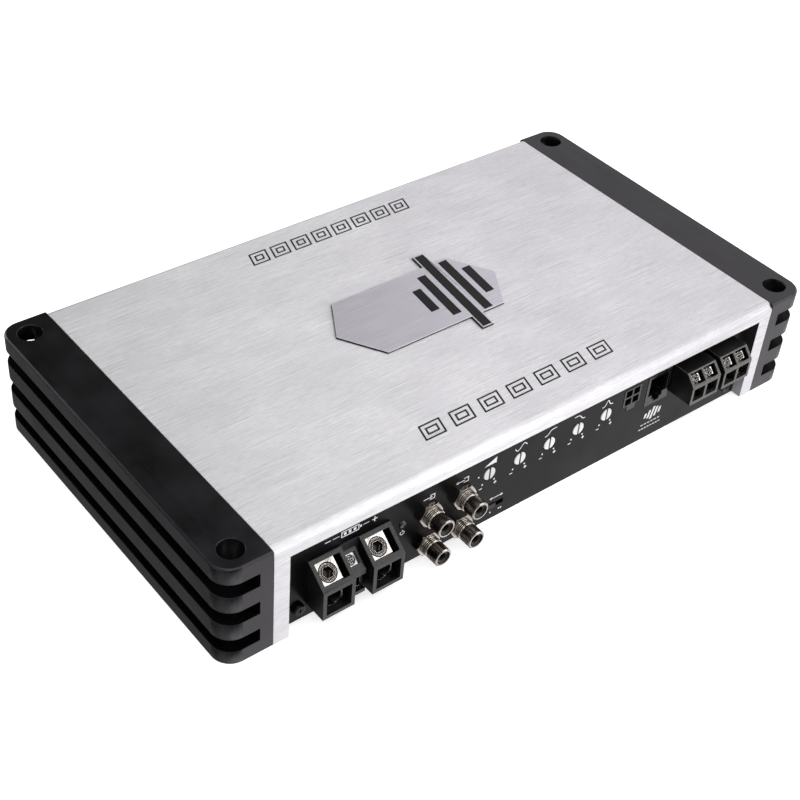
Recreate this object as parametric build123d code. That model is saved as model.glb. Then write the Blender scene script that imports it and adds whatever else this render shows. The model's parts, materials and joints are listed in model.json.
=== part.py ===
from build123d import *
import os
from math import hypot

# Car amplifier. Millimetres. X runs along the front from left to right, the front faces -Y and
# Z points up. The origin is on the base plane, midway between the four mounting holes.

# Driving dimensions
BODY_LENGTH = 268.0         # silver heat sink, along X
CAP_WIDTH = 22.0            # each black end cap, along X
DEPTH = 170.0               # front face to back face
HEIGHT = 50.0               # base plane to the brushed top

BODY_END = BODY_LENGTH / 2
CAP_END = BODY_END + CAP_WIDTH
FRONT_Y = -DEPTH / 2
BACK_Y = DEPTH / 2

# Heat sink extrusion
TOP_THICK = 4.5
FRONT_WALL = 5.0
BACK_WALL = 10.0
EDGE_RADIUS = 3.5
LIP_HEIGHT = 6.7            # part of the front face left above the window
STRIP_WIDTH = 7.0           # part of the front face left beside the window
CEILING_Z = HEIGHT - TOP_THICK
WALL_BACK_Y = FRONT_Y + FRONT_WALL      # back of the front wall, where the panel rests
WALL_INNER_Y = BACK_Y - BACK_WALL
WINDOW_X = BODY_END - STRIP_WIDTH
WINDOW_TOP = HEIGHT - LIP_HEIGHT
SCREW_RIB_YS = (-60.0, 0.0, 60.0)       # ribs under the top that take the cap screws
SCREW_RIB_WIDTH = 8.0
SCREW_RIB_FOOT = 36.8

# Outlined marks engraved in the top
MARK_DEPTH = 0.5
MARK_LINE = 0.7
MARK_BAND = 1.6             # between the outer and inner line of each engraved mark
MARK_HEIGHT = 8.4
MARK_SLANT = 2.4
FRONT_MARKS = {"count": 7, "pitch": 15.2, "width": 10.6, "x": 0.0, "y": -65.0}
BACK_MARKS = {"count": 8, "pitch": 11.3, "width": 9.0, "x": 3.0, "y": 69.0}

# End caps
CORNER_RADIUS = 8.5
GROOVE_DEPTH = 6.0
GROOVE_HEIGHT = 6.4
GROOVE_ZS = (9.8, 24.4, 39.0)
GROOVE_START = BODY_END + 6.0           # the grooves stop short of the silver body
CAP_EDGE = 0.8
MOUNT_X = 146.0
MOUNT_Y = 75.0
MOUNT_HOLE_RADIUS = 2.75
ACCESS_RADIUS = 5.25
ACCESS_FLOOR = GROOVE_ZS[0] - GROOVE_HEIGHT / 2

# Sheet metal
PLATE_THICK = 1.5
PLATE_FRONT_Y = WALL_BACK_Y + PLATE_THICK + 0.1
REBATE_Y = 82.0
PANEL_X = 131.0
PANEL_TOP = 45.3
PANEL_BACK_Y = WALL_BACK_Y + PLATE_THICK
TAB_SCREW_X = 119.6
TAB_SCREW_Z = 6.8
TAB_INNER_X = 116.8
TAB_OUTER_X = 126.0
TAB_TOP = 12.5
PANEL_SCREW_LENGTH = 4.2
PLATE_END = BODY_END - 0.3
FIT_GAP = 0.25

# M3 fasteners
SCREW_RADIUS = 1.45
TAP_RADIUS = 1.5
CLEAR_RADIUS = 1.7
HEAD_RADIUS = 2.7
HEAD_HEIGHT = 2.0
CROSS_ARM = 2.8
CROSS_WIDTH = 0.6
CROSS_DEPTH = 1.0
CAP_SCREW_LENGTH = 23.0
CAP_TAP_DEPTH = 9.0
SINK_RADIUS = 3.1           # countersink of the bottom plate
SINK_DEPTH = 1.3
SINK_HEAD_RADIUS = 2.9
SINK_HEAD_DEPTH = 1.25
BOTTOM_SCREW_LENGTH = 9.0
BOTTOM_SCREW_XS = (-120.0, -40.0, 40.0, 120.0)
BOTTOM_SCREW_Y = 78.4

# Badge on the top
BADGE_X = 1.0
BADGE_Y = 2.0
BADGE_LENGTH = 88.0
BADGE_WIDTH = 40.0
BADGE_POINT = 12.0          # length of the pointed ends
BADGE_THICK = 0.9
INLAY_PROUD = 0.1
INLAY_DEPTH = 0.5
BAR_WIDTH = 4.4
BAR_PITCH = 7.4
BAR_SLANT = 5.0
BAR_RIM = 0.8
BAR_START_X = 4.0
BAR_LENGTHS = (16.0, 30.0, 56.0, 38.0, 20.0)

# Circuit boards
BOARD_BOTTOM = 4.0
BOARD_THICK = 1.6
BOARD_TOP = BOARD_BOTTOM + BOARD_THICK
BOARD_X = 126.0
BOARD_FRONT_Y = -75.5
BOARD_REAR_Y = 73.5
STANDOFF_SPOTS = ((-120.0, -60.0), (120.0, -60.0), (0.0, -48.0),
                  (-120.0, 58.0), (120.0, 58.0), (0.0, 58.0))
CONTROL_FACE_Y = -66.0
CONTROL_BACK_Y = CONTROL_FACE_Y + BOARD_THICK
CONTROL_X = (-72.5, 79.0)
CONTROL_TOP = 38.0
NOTCH_X = (-64.5, -33.0)    # cut-out of the main board under the lower phono jacks
NOTCH_FLOOR = 2.2

# Phono jacks
JACK_XS = (-57.3, -40.0)
JACK_ZS = (7.2, 23.2)
JACK_RADIUS = 4.15
JACK_BORE = 3.3
JACK_TIP_Y = -91.7
JACK_SHOULDER_Y = -86.2     # the smooth barrel runs from the tip to here
JACK_RELIEF_RADIUS = 3.85
JACK_RELIEF_Y = -85.6       # the thread runs from here to the flange
THREAD_RADIUS = 4.35
JACK_FLANGE_RADIUS = 5.0
NUT_RADIUS = 6.1
NUT_THICK = 2.6
NUT_FACE_Y = WALL_BACK_Y - NUT_THICK
THREAD_PITCH = 0.8
THREAD_COUNT = 4
CORE_RADIUS = JACK_BORE - 0.02
CONTACT_RADIUS = 1.98
CONTACT_BORE = 1.6
CONTACT_DEPTH = 10.0

# Trimmers
TRIMMER_NAMES = ("level", "phase", "subsonic", "low_pass", "bass")
TRIMMER_FIRST_X = -26.0
TRIMMER_PITCH = 16.4
TRIMMER_Z = 27.5
TRIMMER_RADIUS = 3.1
TRIMMER_FACE_Y = WALL_BACK_Y - 0.4
TRIMMER_REAR_Y = -72.0
TRIMMER_BODY_Y = -75.5
TRIMMER_BODY_HALF = 4.8
TRIMMER_BODY_Z = (TRIMMER_Z - 5.5, TRIMMER_Z + 5.0)
TRIMMER_SLOT_WIDTH = 0.9
TRIMMER_SLOT_DEPTH = 1.1
RUNNING_GAP = 0.05
TRIMMER_XS = [TRIMMER_FIRST_X + i * TRIMMER_PITCH for i in range(len(TRIMMER_NAMES))]

# Slide switch
SWITCH_SLOT_X = (-24.3, -15.9)
SWITCH_SLOT_Z = (6.3, 8.7)
SLIDER_WIDTH = 3.6
SLIDER_HALF_HEIGHT = 1.1
SWITCH_Z = sum(SWITCH_SLOT_Z) / 2
SWITCH_BODY_Y = -77.5
SWITCH_BODY_TOP = 9.9
SWITCH_CHANNEL_Y = -71.0    # inner end of the slider's channel
SLIDER_TIP_Y = WALL_BACK_Y - 0.5

# Indicator lamp
LED_X = -70.0
LED_Z = 23.5
LED_RADIUS = 1.9
LED_TIP_Y = WALL_BACK_Y - 0.7
LED_LENGTH = 6.0
LED_LEG_RADIUS = 0.3
LED_LEG_OFFSET = 1.2

# Sockets
HIGH_X = (49.6, 59.8)
HIGH_Z = (25.9, 35.4)
HIGH_LATCH_X = (52.3, 57.4)
HIGH_LATCH_Z = 23.3
HIGH_LATCH_YS = (-77.0, -74.0)          # foot and back of the latch ramp
HIGH_CELL = 3.6
HIGH_PITCH = 4.5
HIGH_PIN_Y = -76.5
HIGH_PIN_HALF = 0.5
REMOTE_X = (63.9, 78.2)
REMOTE_Z = (19.7, 36.2)
REMOTE_MOUTH_X = (65.5, 76.5)
REMOTE_MOUTH_Z = (25.0, 34.6)
REMOTE_KEYS = ((67.9, 74.1, 22.7), (69.3, 72.7, 21.2))      # left, right, lowest z
REMOTE_PIN_COUNT = 8
REMOTE_PIN_PITCH = 1.02
REMOTE_SPRING_YS = (-79.0, -70.2)       # fixed end and free end of the spring wires
SOCKET_FACE_Y = WALL_BACK_Y - 0.2
SOCKET_BOTTOM_Y = -68.5     # inner end of the socket cavities

# Terminal blocks: each cell has a slanted face over an upright one. TOP and FOOT are the (y, z)
# ends of the slanted face, and LEG_Y is where the clamp's solder leg stands.
LEG_GAP = 0.2
POWER_XS = (-108.2, -84.7)
POWER_HALF = 7.5
POWER_WALL = 1.3
POWER_TOP = (-80.6, 30.0)
POWER_FOOT = (-91.0, 21.6)
POWER_FLOOR = 7.0
POWER_REAR_Y = -66.2
POWER_SHOULDER_Y = -80.0    # the cells stand out from here
POWER_FLANGE = 0.8          # rim behind the panel, round its opening
POWER_MOUTH_HALF = 5.8
POWER_MOUTH_Z = (8.9, 19.6)
POWER_SLOPE_MARGIN = 3.8    # part of the slanted face left round the screw window
POWER_LEG_Y = (-71.0, -69.8)
POWER_LEG_X = (-3.8, 1.8)   # from the middle of the cell
POWER_CAVITY_Y = -68.2
POWER_CLAMP_HALF = 4.8
POWER_CLAMP_Y = -88.2
POWER_CLAMP_GAP = 0.2
POWER_BORE_Z = 14.0
POWER_BORE_RADIUS = 4.2
POWER_BORE_LENGTH = 16.5

REM_X = -97.6
REM_HALF = 3.1
REM_WALL = 1.2
REM_TOP = (-80.6, 26.0)
REM_FOOT = (-88.2, 19.9)
REM_FLOOR = 7.8
REM_MOUTH_HALF = 2.9
REM_MOUTH_Z = (9.6, 17.6)
REM_SLOPE_MARGIN = 4.8

SPEAKER_STARTS = (79.4, 99.7)           # left side of each two-pole housing
SPEAKER_WIDTH = 17.5
SPEAKER_WALL = 1.2
SPEAKER_ROOF = 0.9          # thickness of the slanted face
SPEAKER_CAVITY = 3.55
SPEAKER_POLE_OFFSETS = (4.7, 12.8)
SPEAKER_TOP = (-87.8, 37.0)
SPEAKER_FOOT = (-92.4, 32.0)
SPEAKER_FLOOR = 22.0
SPEAKER_REAR_Y = -70.0
SPEAKER_REAR_TOP = 36.2
SPEAKER_REAR_FLOOR = 21.0
SPEAKER_CAVITY_Y = -71.4
SPEAKER_STEP_Y = -77.0      # the ceiling of the cavity drops behind here
SPEAKER_MOUTH_HALF = 3.4
SPEAKER_MOUTH_Z = (23.6, 30.4)
SPEAKER_SLOPE_MARGIN = 1.3
SPEAKER_LEG_Y = (-74.6, -73.6)
SOCKET_RADIUS = 2.5         # across the corners of the big screws' hexagon
SOCKET_DEPTH = 3.2
RING_RADII = (3.1, 3.45)
RING_DEPTH = 0.4
CAGE_PASSAGE = 4.7          # side of the square wire passage of the small clamps
CAGE_BACK_WALL = 0.8
CAGE_LEG_HALF = 2.0

# Back-wall transistors
DEVICE_WIDTH = 10.0
DEVICE_THICK = 4.5
DEVICE_Z = (11.0, 26.0)
DEVICE_LEGS = (-2.54, 0.0, 2.54)
PAD_THICK = 0.3
CLAMP_BAR_THICK = 3.0
CLAMP_BAR_Z = (16.0, 22.0)
SUPPLY_XS = (-115.0, -100.0, -85.0, -70.0, -55.0)
OUTPUT_XS = (35.0, 50.0, 65.0, 80.0, 95.0)
CLAMP_SCREW_XS = (-107.5, -62.5, 42.5, 87.5)
CLAMP_SCREW_Z = 19.0
CLAMP_SCREW_LENGTH = 15.0
STRIP_MARGIN = 8.0          # strips reach past the outer transistors by this much
DEVICE_REAR_Y = WALL_INNER_Y - PAD_THICK
DEVICE_FRONT_Y = DEVICE_REAR_Y - DEVICE_THICK

# Parts standing on the main board
TRANSFORMER_SPOT = (-85.0, 5.0)
TRANSFORMER_RADIUS = 26.0
TRANSFORMER_BORE = 10.0
TRANSFORMER_Z = (6.0, 28.0)
WIRE_THICK = 3.0
WIRE_WIDTH = 2.2
WIRE_GAP = 0.2
TURN_COUNT = 24
INPUT_CAP_XS = (-108.0, -89.0, -70.0, -51.0)
INPUT_CAP_Y = -42.0
INPUT_CAP_RADIUS = 8.0
INPUT_CAP_TOP = 31.0
RAIL_CAP_SPOTS = ((-35.0, -12.0), (-35.0, 18.0), (-6.0, -12.0), (-6.0, 18.0))
RAIL_CAP_RADIUS = 12.5
RAIL_CAP_TOP = 35.0
CAN_CRIMP_HEIGHT = 3.5      # height of the crimp groove above the board
CAN_CRIMP_RADIUS = 1.0
INDUCTOR_SPOT = (50.0, 0.0)
INDUCTOR_HALF = 18.0
INDUCTOR_TOP = 32.0
INDUCTOR_WINDOW = 13.5      # radius of the round space for the coil
INDUCTOR_LEG = 7.0          # radius of the centre leg
INDUCTOR_GAP = 0.4          # coil to core
INDUCTOR_CHAMBER = 18.0     # height of the space for the coil
COIL_TURNS = 8


def block(x0, x1, y0, y1, z0, z1):
    """A box between two corners."""
    size = Box(abs(x1 - x0), abs(y1 - y0), abs(z1 - z0))
    return Pos((x0 + x1) / 2, (y0 + y1) / 2, (z0 + z1) / 2) * size


def rod(start, direction, radius, length):
    """A cylinder that starts at a point and runs along a direction."""
    plane = Plane(origin=start, z_dir=direction)
    return plane * Cylinder(radius, length, align=(Align.CENTER, Align.CENTER, Align.MIN))


def side_prism(points, x0, x1):
    """A (y, z) outline extruded from x0 to x1."""
    face = make_face(Polyline(*points, close=True))
    return extrude(Plane.YZ.offset(x0) * face, x1 - x0)


def plan_prism(points, z0, z1):
    """An (x, y) outline extruded from z0 to z1."""
    face = make_face(Polyline(*points, close=True))
    return extrude(Plane.XY.offset(z0) * face, z1 - z0)


def standing_cone(bottom_radius, top_radius, height):
    """A cone with its base on the XY plane."""
    return Cone(bottom_radius, top_radius, height, align=(Align.CENTER, Align.CENTER, Align.MIN))


def group(solids):
    """Separate solids kept together in one node."""
    return Compound(children=[part for solid in solids for part in solid.solids()])


def hex_prism(x, z, y0, y1, radius):
    """A hexagon across the corners of the given radius, extruded along Y."""
    outline = RegularPolygon(radius, 6)
    plane = Plane(origin=(x, y1, z), x_dir=(1, 0, 0), z_dir=(0, -1, 0))
    return extrude(plane * outline, y1 - y0)


def cross_bars(arm, width, depth):
    """Cutter for a crossed recess, centred on the face that it is cut into."""
    return Box(arm, width, 2 * depth) + Box(width, arm, 2 * depth)


def slanted_outline(x, y, width, height, slant):
    """Corners of a parallelogram that leans along X."""
    lean = slant / 2
    return ((x - width / 2 - lean, y - height / 2), (x + width / 2 - lean, y - height / 2),
            (x + width / 2 + lean, y + height / 2), (x - width / 2 + lean, y + height / 2))


# ---------------------------------------------------------------- screw terminals

class ScrewTerminal:
    """One clamping point: a screw square to the slanted face, above a level wire passage."""

    def __init__(self, x, top, foot, recess, shift, screw_radius, screw_length, pad_radius,
                 pad_thick, travel):
        self.slope = hypot(foot[0] - top[0], foot[1] - top[1])
        self.x = x
        self.down = ((foot[0] - top[0]) / self.slope, (foot[1] - top[1]) / self.slope)
        self.out = (self.down[1], -self.down[0])
        self.recess = recess
        self.top = top
        self.screw_radius = screw_radius
        self.screw_length = screw_length
        self.pad_radius = pad_radius
        self.pad_thick = pad_thick
        self.travel = travel
        middle = ((top[0] + foot[0]) / 2, (top[1] + foot[1]) / 2)
        self.seat = (middle[0] - shift * self.down[0] - recess * self.out[0],
                     middle[1] - shift * self.down[1] - recess * self.out[1])

    def axis(self):
        """Direction out of the terminal along its screw."""
        return (0, self.out[0], self.out[1])

    def inward(self):
        return (0, -self.out[0], -self.out[1])

    def point(self, depth):
        """Point on the screw axis, this far below the clamp's slanted face."""
        return (self.x, self.seat[0] - depth * self.out[0], self.seat[1] - depth * self.out[1])

    def line_z(self, y, recess):
        """Height at y of a line parallel to the slanted face, this far below it."""
        y0 = self.top[0] - recess * self.out[0]
        z0 = self.top[1] - recess * self.out[1]
        return z0 + (y - y0) * self.down[1] / self.down[0]

    def line_y(self, z, recess):
        """Depth at height z of the same line."""
        y0 = self.top[0] - recess * self.out[0]
        z0 = self.top[1] - recess * self.out[1]
        return y0 + (z - z0) * self.down[0] / self.down[1]

    def screw_hole(self):
        """Tapped hole for the screw, carried on as far as the pad travels."""
        depth = self.screw_length + 2 * RUNNING_GAP + self.pad_thick + self.travel + 0.3
        return rod(self.point(-2.0), self.inward(), self.screw_radius + RUNNING_GAP, depth + 2.0)

    def screw_blank(self):
        """The screw before its drive recess is cut, with a chamfered outer rim."""
        blank = rod(self.point(0), self.inward(), self.screw_radius, self.screw_length)
        rim = blank.edges().sort_by(Axis(self.point(0), self.axis()))[-1]
        return chamfer(rim, 0.35)

    def pad(self):
        """Pressure pad held under the screw's tip, which spares the wire's strands."""
        start = self.point(self.screw_length + RUNNING_GAP)
        return rod(start, self.inward(), self.pad_radius, self.pad_thick)

    def window(self, centre_x, half_width, margin):
        """Opening square to the slanted face, through which the screw is turned."""
        centre = Vector(self.point(-self.recess))
        plane = Plane(origin=(centre_x, centre.Y, centre.Z), x_dir=(1, 0, 0), z_dir=self.axis())
        return plane * Box(2 * half_width, self.slope - margin, 4.0)

    def cavity(self, back_y, floor, roof, front_y, wall):
        """Outline of the hollow behind the slanted face, one wall thickness inside it."""
        return ((back_y, floor), (back_y, roof), (self.line_y(roof, wall), roof),
                (front_y, self.line_z(front_y, wall)), (front_y, floor))


def socket_screw(terminal):
    """Set screw with a hexagon socket and a turned ring round it."""
    plane = Plane(origin=terminal.point(0), x_dir=(1, 0, 0), z_dir=terminal.inward())
    socket = extrude(plane * RegularPolygon(SOCKET_RADIUS, 6), SOCKET_DEPTH)
    ring = Cylinder(RING_RADII[1], 2 * RING_DEPTH) - Cylinder(RING_RADII[0], 2 * RING_DEPTH)
    return terminal.screw_blank() - socket - plane * ring


def cross_screw(terminal):
    """Small clamp screw with a crossed driver slot."""
    plane = Plane(origin=terminal.point(0), x_dir=(1, 0, 0), z_dir=terminal.inward())
    arm = 1.44 * terminal.screw_radius
    return terminal.screw_blank() - plane * cross_bars(arm, 0.7, CROSS_DEPTH)


POWER_SHIFT_X = -1.4        # screw and clamp sit left of the middle of the power cells
SPEAKER_SHIFT_X = -0.75
POWER_TERMINALS = [
    ScrewTerminal(x + POWER_SHIFT_X, POWER_TOP, POWER_FOOT, recess=1.5, shift=0.0,
                  screw_radius=4.0, screw_length=6.0, pad_radius=3.4, pad_thick=1.2, travel=6.25)
    for x in POWER_XS]
REM_TERMINAL = ScrewTerminal(REM_X, REM_TOP, REM_FOOT, recess=1.4, shift=0.8, screw_radius=2.1,
                             screw_length=6.9, pad_radius=1.8, pad_thick=0.8, travel=4.2)
SPEAKER_POLE_XS = [start + offset for start in SPEAKER_STARTS for offset in SPEAKER_POLE_OFFSETS]
SPEAKER_TERMINALS = [
    ScrewTerminal(x + SPEAKER_SHIFT_X, SPEAKER_TOP, SPEAKER_FOOT, recess=1.1, shift=0.0,
                  screw_radius=2.1, screw_length=4.1, pad_radius=1.8, pad_thick=0.8, travel=4.2)
    for x in SPEAKER_POLE_XS]


def cell_outline(top, foot, shoulder_y, floor):
    """Outline of one cell: its slanted face, its upright front and its underside."""
    return ((shoulder_y, floor), (shoulder_y, top[1]), top, foot, (foot[0], floor))


def leg_slot(x0, x1, leg_y, z0, z1):
    """Slot in a housing's floor that lets a clamp's leg through."""
    return block(x0, x1, leg_y[0] - LEG_GAP, leg_y[1] + LEG_GAP, z0, z1)


def power_cell(body, centre, terminal):
    """Add one large cell to the power moulding and hollow it out."""
    outline = cell_outline(POWER_TOP, POWER_FOOT, POWER_SHOULDER_Y, POWER_FLOOR)
    body += side_prism(outline, centre - POWER_HALF, centre + POWER_HALF)
    front = POWER_FOOT[0] + POWER_WALL
    floor = POWER_FLOOR + POWER_WALL
    half = POWER_HALF - POWER_WALL + 0.1
    cavity = terminal.cavity(POWER_CAVITY_Y, floor, POWER_TOP[1] - POWER_WALL, front, POWER_WALL)
    body -= side_prism(cavity, centre - half, centre + half)
    body -= terminal.window(centre, POWER_MOUTH_HALF, POWER_SLOPE_MARGIN)
    body -= block(centre - POWER_MOUTH_HALF, centre + POWER_MOUTH_HALF, POWER_FOOT[0] - 1,
                  front + 1, POWER_MOUTH_Z[0], POWER_MOUTH_Z[1])
    body -= leg_slot(centre + POWER_LEG_X[0] - LEG_GAP, centre + POWER_LEG_X[1] + LEG_GAP,
                     POWER_LEG_Y, BOARD_TOP - 1, floor + 1)
    return body


def remote_cell(body):
    """Add the small remote cell, whose right side is open for the wire."""
    outline = cell_outline(REM_TOP, REM_FOOT, POWER_SHOULDER_Y, REM_FLOOR)
    right = REM_X + REM_HALF
    body += side_prism(outline, POWER_XS[0] + POWER_HALF, right + POWER_FLANGE)
    front = REM_FOOT[0] + REM_WALL
    floor = REM_FLOOR + REM_WALL
    roof = REM_TOP[1] - REM_WALL
    cavity = REM_TERMINAL.cavity(POWER_CAVITY_Y, floor, roof, front, REM_WALL)
    body -= side_prism(cavity, REM_X - REM_HALF, right)
    side = REM_TERMINAL.cavity(POWER_SHOULDER_Y - 0.4, floor, roof - 0.3, front, REM_WALL + 0.4)
    body -= side_prism(side, REM_X, right + 2)
    body -= REM_TERMINAL.window(REM_X, REM_MOUTH_HALF, REM_SLOPE_MARGIN)
    body -= block(REM_X - REM_MOUTH_HALF, right + 2, REM_FOOT[0] - 1, front + 1,
                  REM_MOUTH_Z[0], REM_MOUTH_Z[1])
    body -= leg_slot(REM_X - CAGE_LEG_HALF - LEG_GAP, REM_X + CAGE_LEG_HALF + LEG_GAP,
                     POWER_LEG_Y, BOARD_TOP - 1, floor + 1)
    return body


def power_terminal_housing():
    """One moulding with two large cells and the small remote cell between them."""
    left = POWER_XS[0] - POWER_HALF
    right = POWER_XS[1] + POWER_HALF
    seat_y = PANEL_BACK_Y + 0.1
    body = block(left - POWER_FLANGE, right + POWER_FLANGE, seat_y, POWER_REAR_Y, BOARD_TOP,
                 POWER_TOP[1] + POWER_FLANGE)
    body += block(left, right, POWER_SHOULDER_Y - 0.3, seat_y, POWER_FLOOR, POWER_TOP[1])
    for centre, terminal in zip(POWER_XS, POWER_TERMINALS):
        body = power_cell(body, centre, terminal)
    return remote_cell(body)


def power_clamps():
    """Two nickel-plated clamp blocks with a round wire bore and a leg down to the board."""
    clamps = []
    floor = POWER_FLOOR + POWER_WALL + POWER_CLAMP_GAP
    roof = POWER_TOP[1] - POWER_WALL - POWER_CLAMP_GAP
    for centre, terminal in zip(POWER_XS, POWER_TERMINALS):
        outline = terminal.cavity(POWER_LEG_Y[0], floor, roof, POWER_CLAMP_Y, terminal.recess)
        clamp = side_prism(outline, terminal.x - POWER_CLAMP_HALF, terminal.x + POWER_CLAMP_HALF)
        clamp -= rod((terminal.x, POWER_CLAMP_Y - 1, POWER_BORE_Z), (0, 1, 0),
                     POWER_BORE_RADIUS, POWER_BORE_LENGTH)
        clamp -= terminal.screw_hole()
        clamp += block(centre + POWER_LEG_X[0], centre + POWER_LEG_X[1], POWER_LEG_Y[0],
                       POWER_LEG_Y[1], BOARD_TOP, roof)
        clamps.append(clamp)
    return group(clamps)


def cage_clamp(terminal, centre, sizes, leg_y):
    """Clamp with a square wire passage, a boss for its screw and a leg down to the board."""
    front = sizes["front"]
    back = leg_y[1]
    floor = sizes["floor"]
    shoulder = sizes["shoulder"]
    body = block(centre - sizes["half"], centre + sizes["half"], front, back, floor, shoulder)
    boss = terminal.cavity(back, shoulder, sizes["roof"], front, terminal.recess)
    body += side_prism(boss, terminal.x - sizes["boss"], terminal.x + sizes["boss"])
    half = CAGE_PASSAGE / 2
    body -= block(centre - half, centre + half, front - 1, back - CAGE_BACK_WALL,
                  sizes["passage"], sizes["passage"] + CAGE_PASSAGE)
    body -= terminal.screw_hole()
    body += block(centre - CAGE_LEG_HALF, centre + CAGE_LEG_HALF, leg_y[0], leg_y[1],
                  BOARD_TOP, floor + 1.0)
    return body


def remote_clamp():
    """Clamp of the remote turn-on terminal."""
    sizes = {"half": 2.95, "front": -86.2, "floor": 9.3, "passage": 10.2, "shoulder": 16.0,
             "roof": 24.5, "boss": 2.9}
    return cage_clamp(REM_TERMINAL, REM_X, sizes, POWER_LEG_Y)


def speaker_pole(body, centre, terminal):
    """Hollow out one pole of a speaker moulding."""
    front = SPEAKER_FOOT[0] + SPEAKER_WALL
    floor = SPEAKER_FLOOR + SPEAKER_WALL
    roof = SPEAKER_REAR_TOP - 0.4
    cavity = terminal.cavity(SPEAKER_STEP_Y, floor, roof, front, SPEAKER_ROOF)
    body -= side_prism(cavity, centre - SPEAKER_CAVITY, centre + SPEAKER_CAVITY)
    body -= block(centre - SPEAKER_CAVITY, centre + SPEAKER_CAVITY, SPEAKER_STEP_Y - 0.5,
                  SPEAKER_CAVITY_Y, floor, roof - 0.6)
    body -= terminal.window(centre, SPEAKER_MOUTH_HALF, SPEAKER_SLOPE_MARGIN)
    body -= block(centre - SPEAKER_MOUTH_HALF, centre + SPEAKER_MOUTH_HALF,
                  SPEAKER_FOOT[0] - 1, front + 1, SPEAKER_MOUTH_Z[0], SPEAKER_MOUTH_Z[1])
    body -= leg_slot(centre - CAGE_LEG_HALF - LEG_GAP, centre + CAGE_LEG_HALF + LEG_GAP,
                     SPEAKER_LEG_Y, SPEAKER_REAR_FLOOR - 1, floor + 1)
    return body


def speaker_terminal_housings():
    """Two separate two-pole mouldings."""
    seat_y = PANEL_BACK_Y + 0.1
    outline = ((SPEAKER_REAR_Y, SPEAKER_REAR_FLOOR), (SPEAKER_REAR_Y, SPEAKER_REAR_TOP),
               (seat_y, SPEAKER_REAR_TOP), (seat_y, SPEAKER_TOP[1]), SPEAKER_TOP, SPEAKER_FOOT,
               (SPEAKER_FOOT[0], SPEAKER_FLOOR), (seat_y, SPEAKER_FLOOR),
               (seat_y, SPEAKER_REAR_FLOOR))
    poles = iter(SPEAKER_TERMINALS)
    housings = []
    for start in SPEAKER_STARTS:
        body = side_prism(outline, start, start + SPEAKER_WIDTH)
        for offset in SPEAKER_POLE_OFFSETS:
            body = speaker_pole(body, start + offset, next(poles))
        housings.append(body)
    return group(housings)


def speaker_clamps():
    """Four clamps, one for each speaker pole."""
    sizes = {"half": 3.15, "front": -90.4, "floor": 23.3, "passage": 24.1, "shoulder": 30.2,
             "roof": 35.0, "boss": 2.4}
    return group([cage_clamp(terminal, centre, sizes, SPEAKER_LEG_Y)
                  for centre, terminal in zip(SPEAKER_POLE_XS, SPEAKER_TERMINALS)])


# ---------------------------------------------------------------- structure

def mark_line(x, row, inset):
    """Cutter for one closed slanted line, this far inside a mark's outline."""
    lines = []
    for step in (inset, inset + MARK_LINE):
        slant = MARK_SLANT * (1 - 2 * step / MARK_HEIGHT)
        outline = slanted_outline(x, row["y"], row["width"] - 2 * step, MARK_HEIGHT - 2 * step,
                                  slant)
        lines.append(plan_prism(outline, HEIGHT - MARK_DEPTH, HEIGHT + 1))
    return lines[0] - lines[1]


def marks(row):
    """One row of double slanted outlines, as the cutters that engrave them."""
    first = row["x"] - (row["count"] - 1) * row["pitch"] / 2
    cutters = []
    for i in range(row["count"]):
        x = first + i * row["pitch"]
        cutters.append(mark_line(x, row, 0))
        cutters.append(mark_line(x, row, MARK_LINE + MARK_BAND))
    return cutters


def heatsink_shell():
    """Aluminium extrusion: top, front wall with a milled window, back wall and ribs."""
    shell = block(-BODY_END, BODY_END, FRONT_Y, BACK_Y, 0, HEIGHT)
    top_edges = shell.edges().filter_by(Axis.X).group_by(Axis.Z)[-1]
    shell = fillet(top_edges, EDGE_RADIUS)
    shell -= block(-BODY_END, BODY_END, WALL_BACK_Y, WALL_INNER_Y, 0, CEILING_Z)
    shell -= block(-WINDOW_X, WINDOW_X, FRONT_Y - 1, WALL_BACK_Y, 0, WINDOW_TOP)
    shell -= block(-BODY_END, BODY_END, WALL_INNER_Y - 1, REBATE_Y, 0, PLATE_THICK)
    for y in SCREW_RIB_YS:
        half = SCREW_RIB_WIDTH / 2
        shell += block(-BODY_END, BODY_END, y - half, y + half, SCREW_RIB_FOOT, CEILING_Z)
    for y in SCREW_RIB_YS:
        for side in (-1, 1):
            shell -= rod((side * BODY_END, y, GROOVE_ZS[2]), (-side, 0, 0), TAP_RADIUS,
                         CAP_TAP_DEPTH)
    for x in BOTTOM_SCREW_XS:
        shell -= rod((x, BOTTOM_SCREW_Y, 0), (0, 0, 1), TAP_RADIUS, BOTTOM_SCREW_LENGTH + 1)
    for x in CLAMP_SCREW_XS:
        shell -= rod((x, WALL_INNER_Y, CLAMP_SCREW_Z), (0, 1, 0), TAP_RADIUS, BACK_WALL - 2)
    for cutter in marks(FRONT_MARKS) + marks(BACK_MARKS):
        shell -= cutter
    return shell


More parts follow.
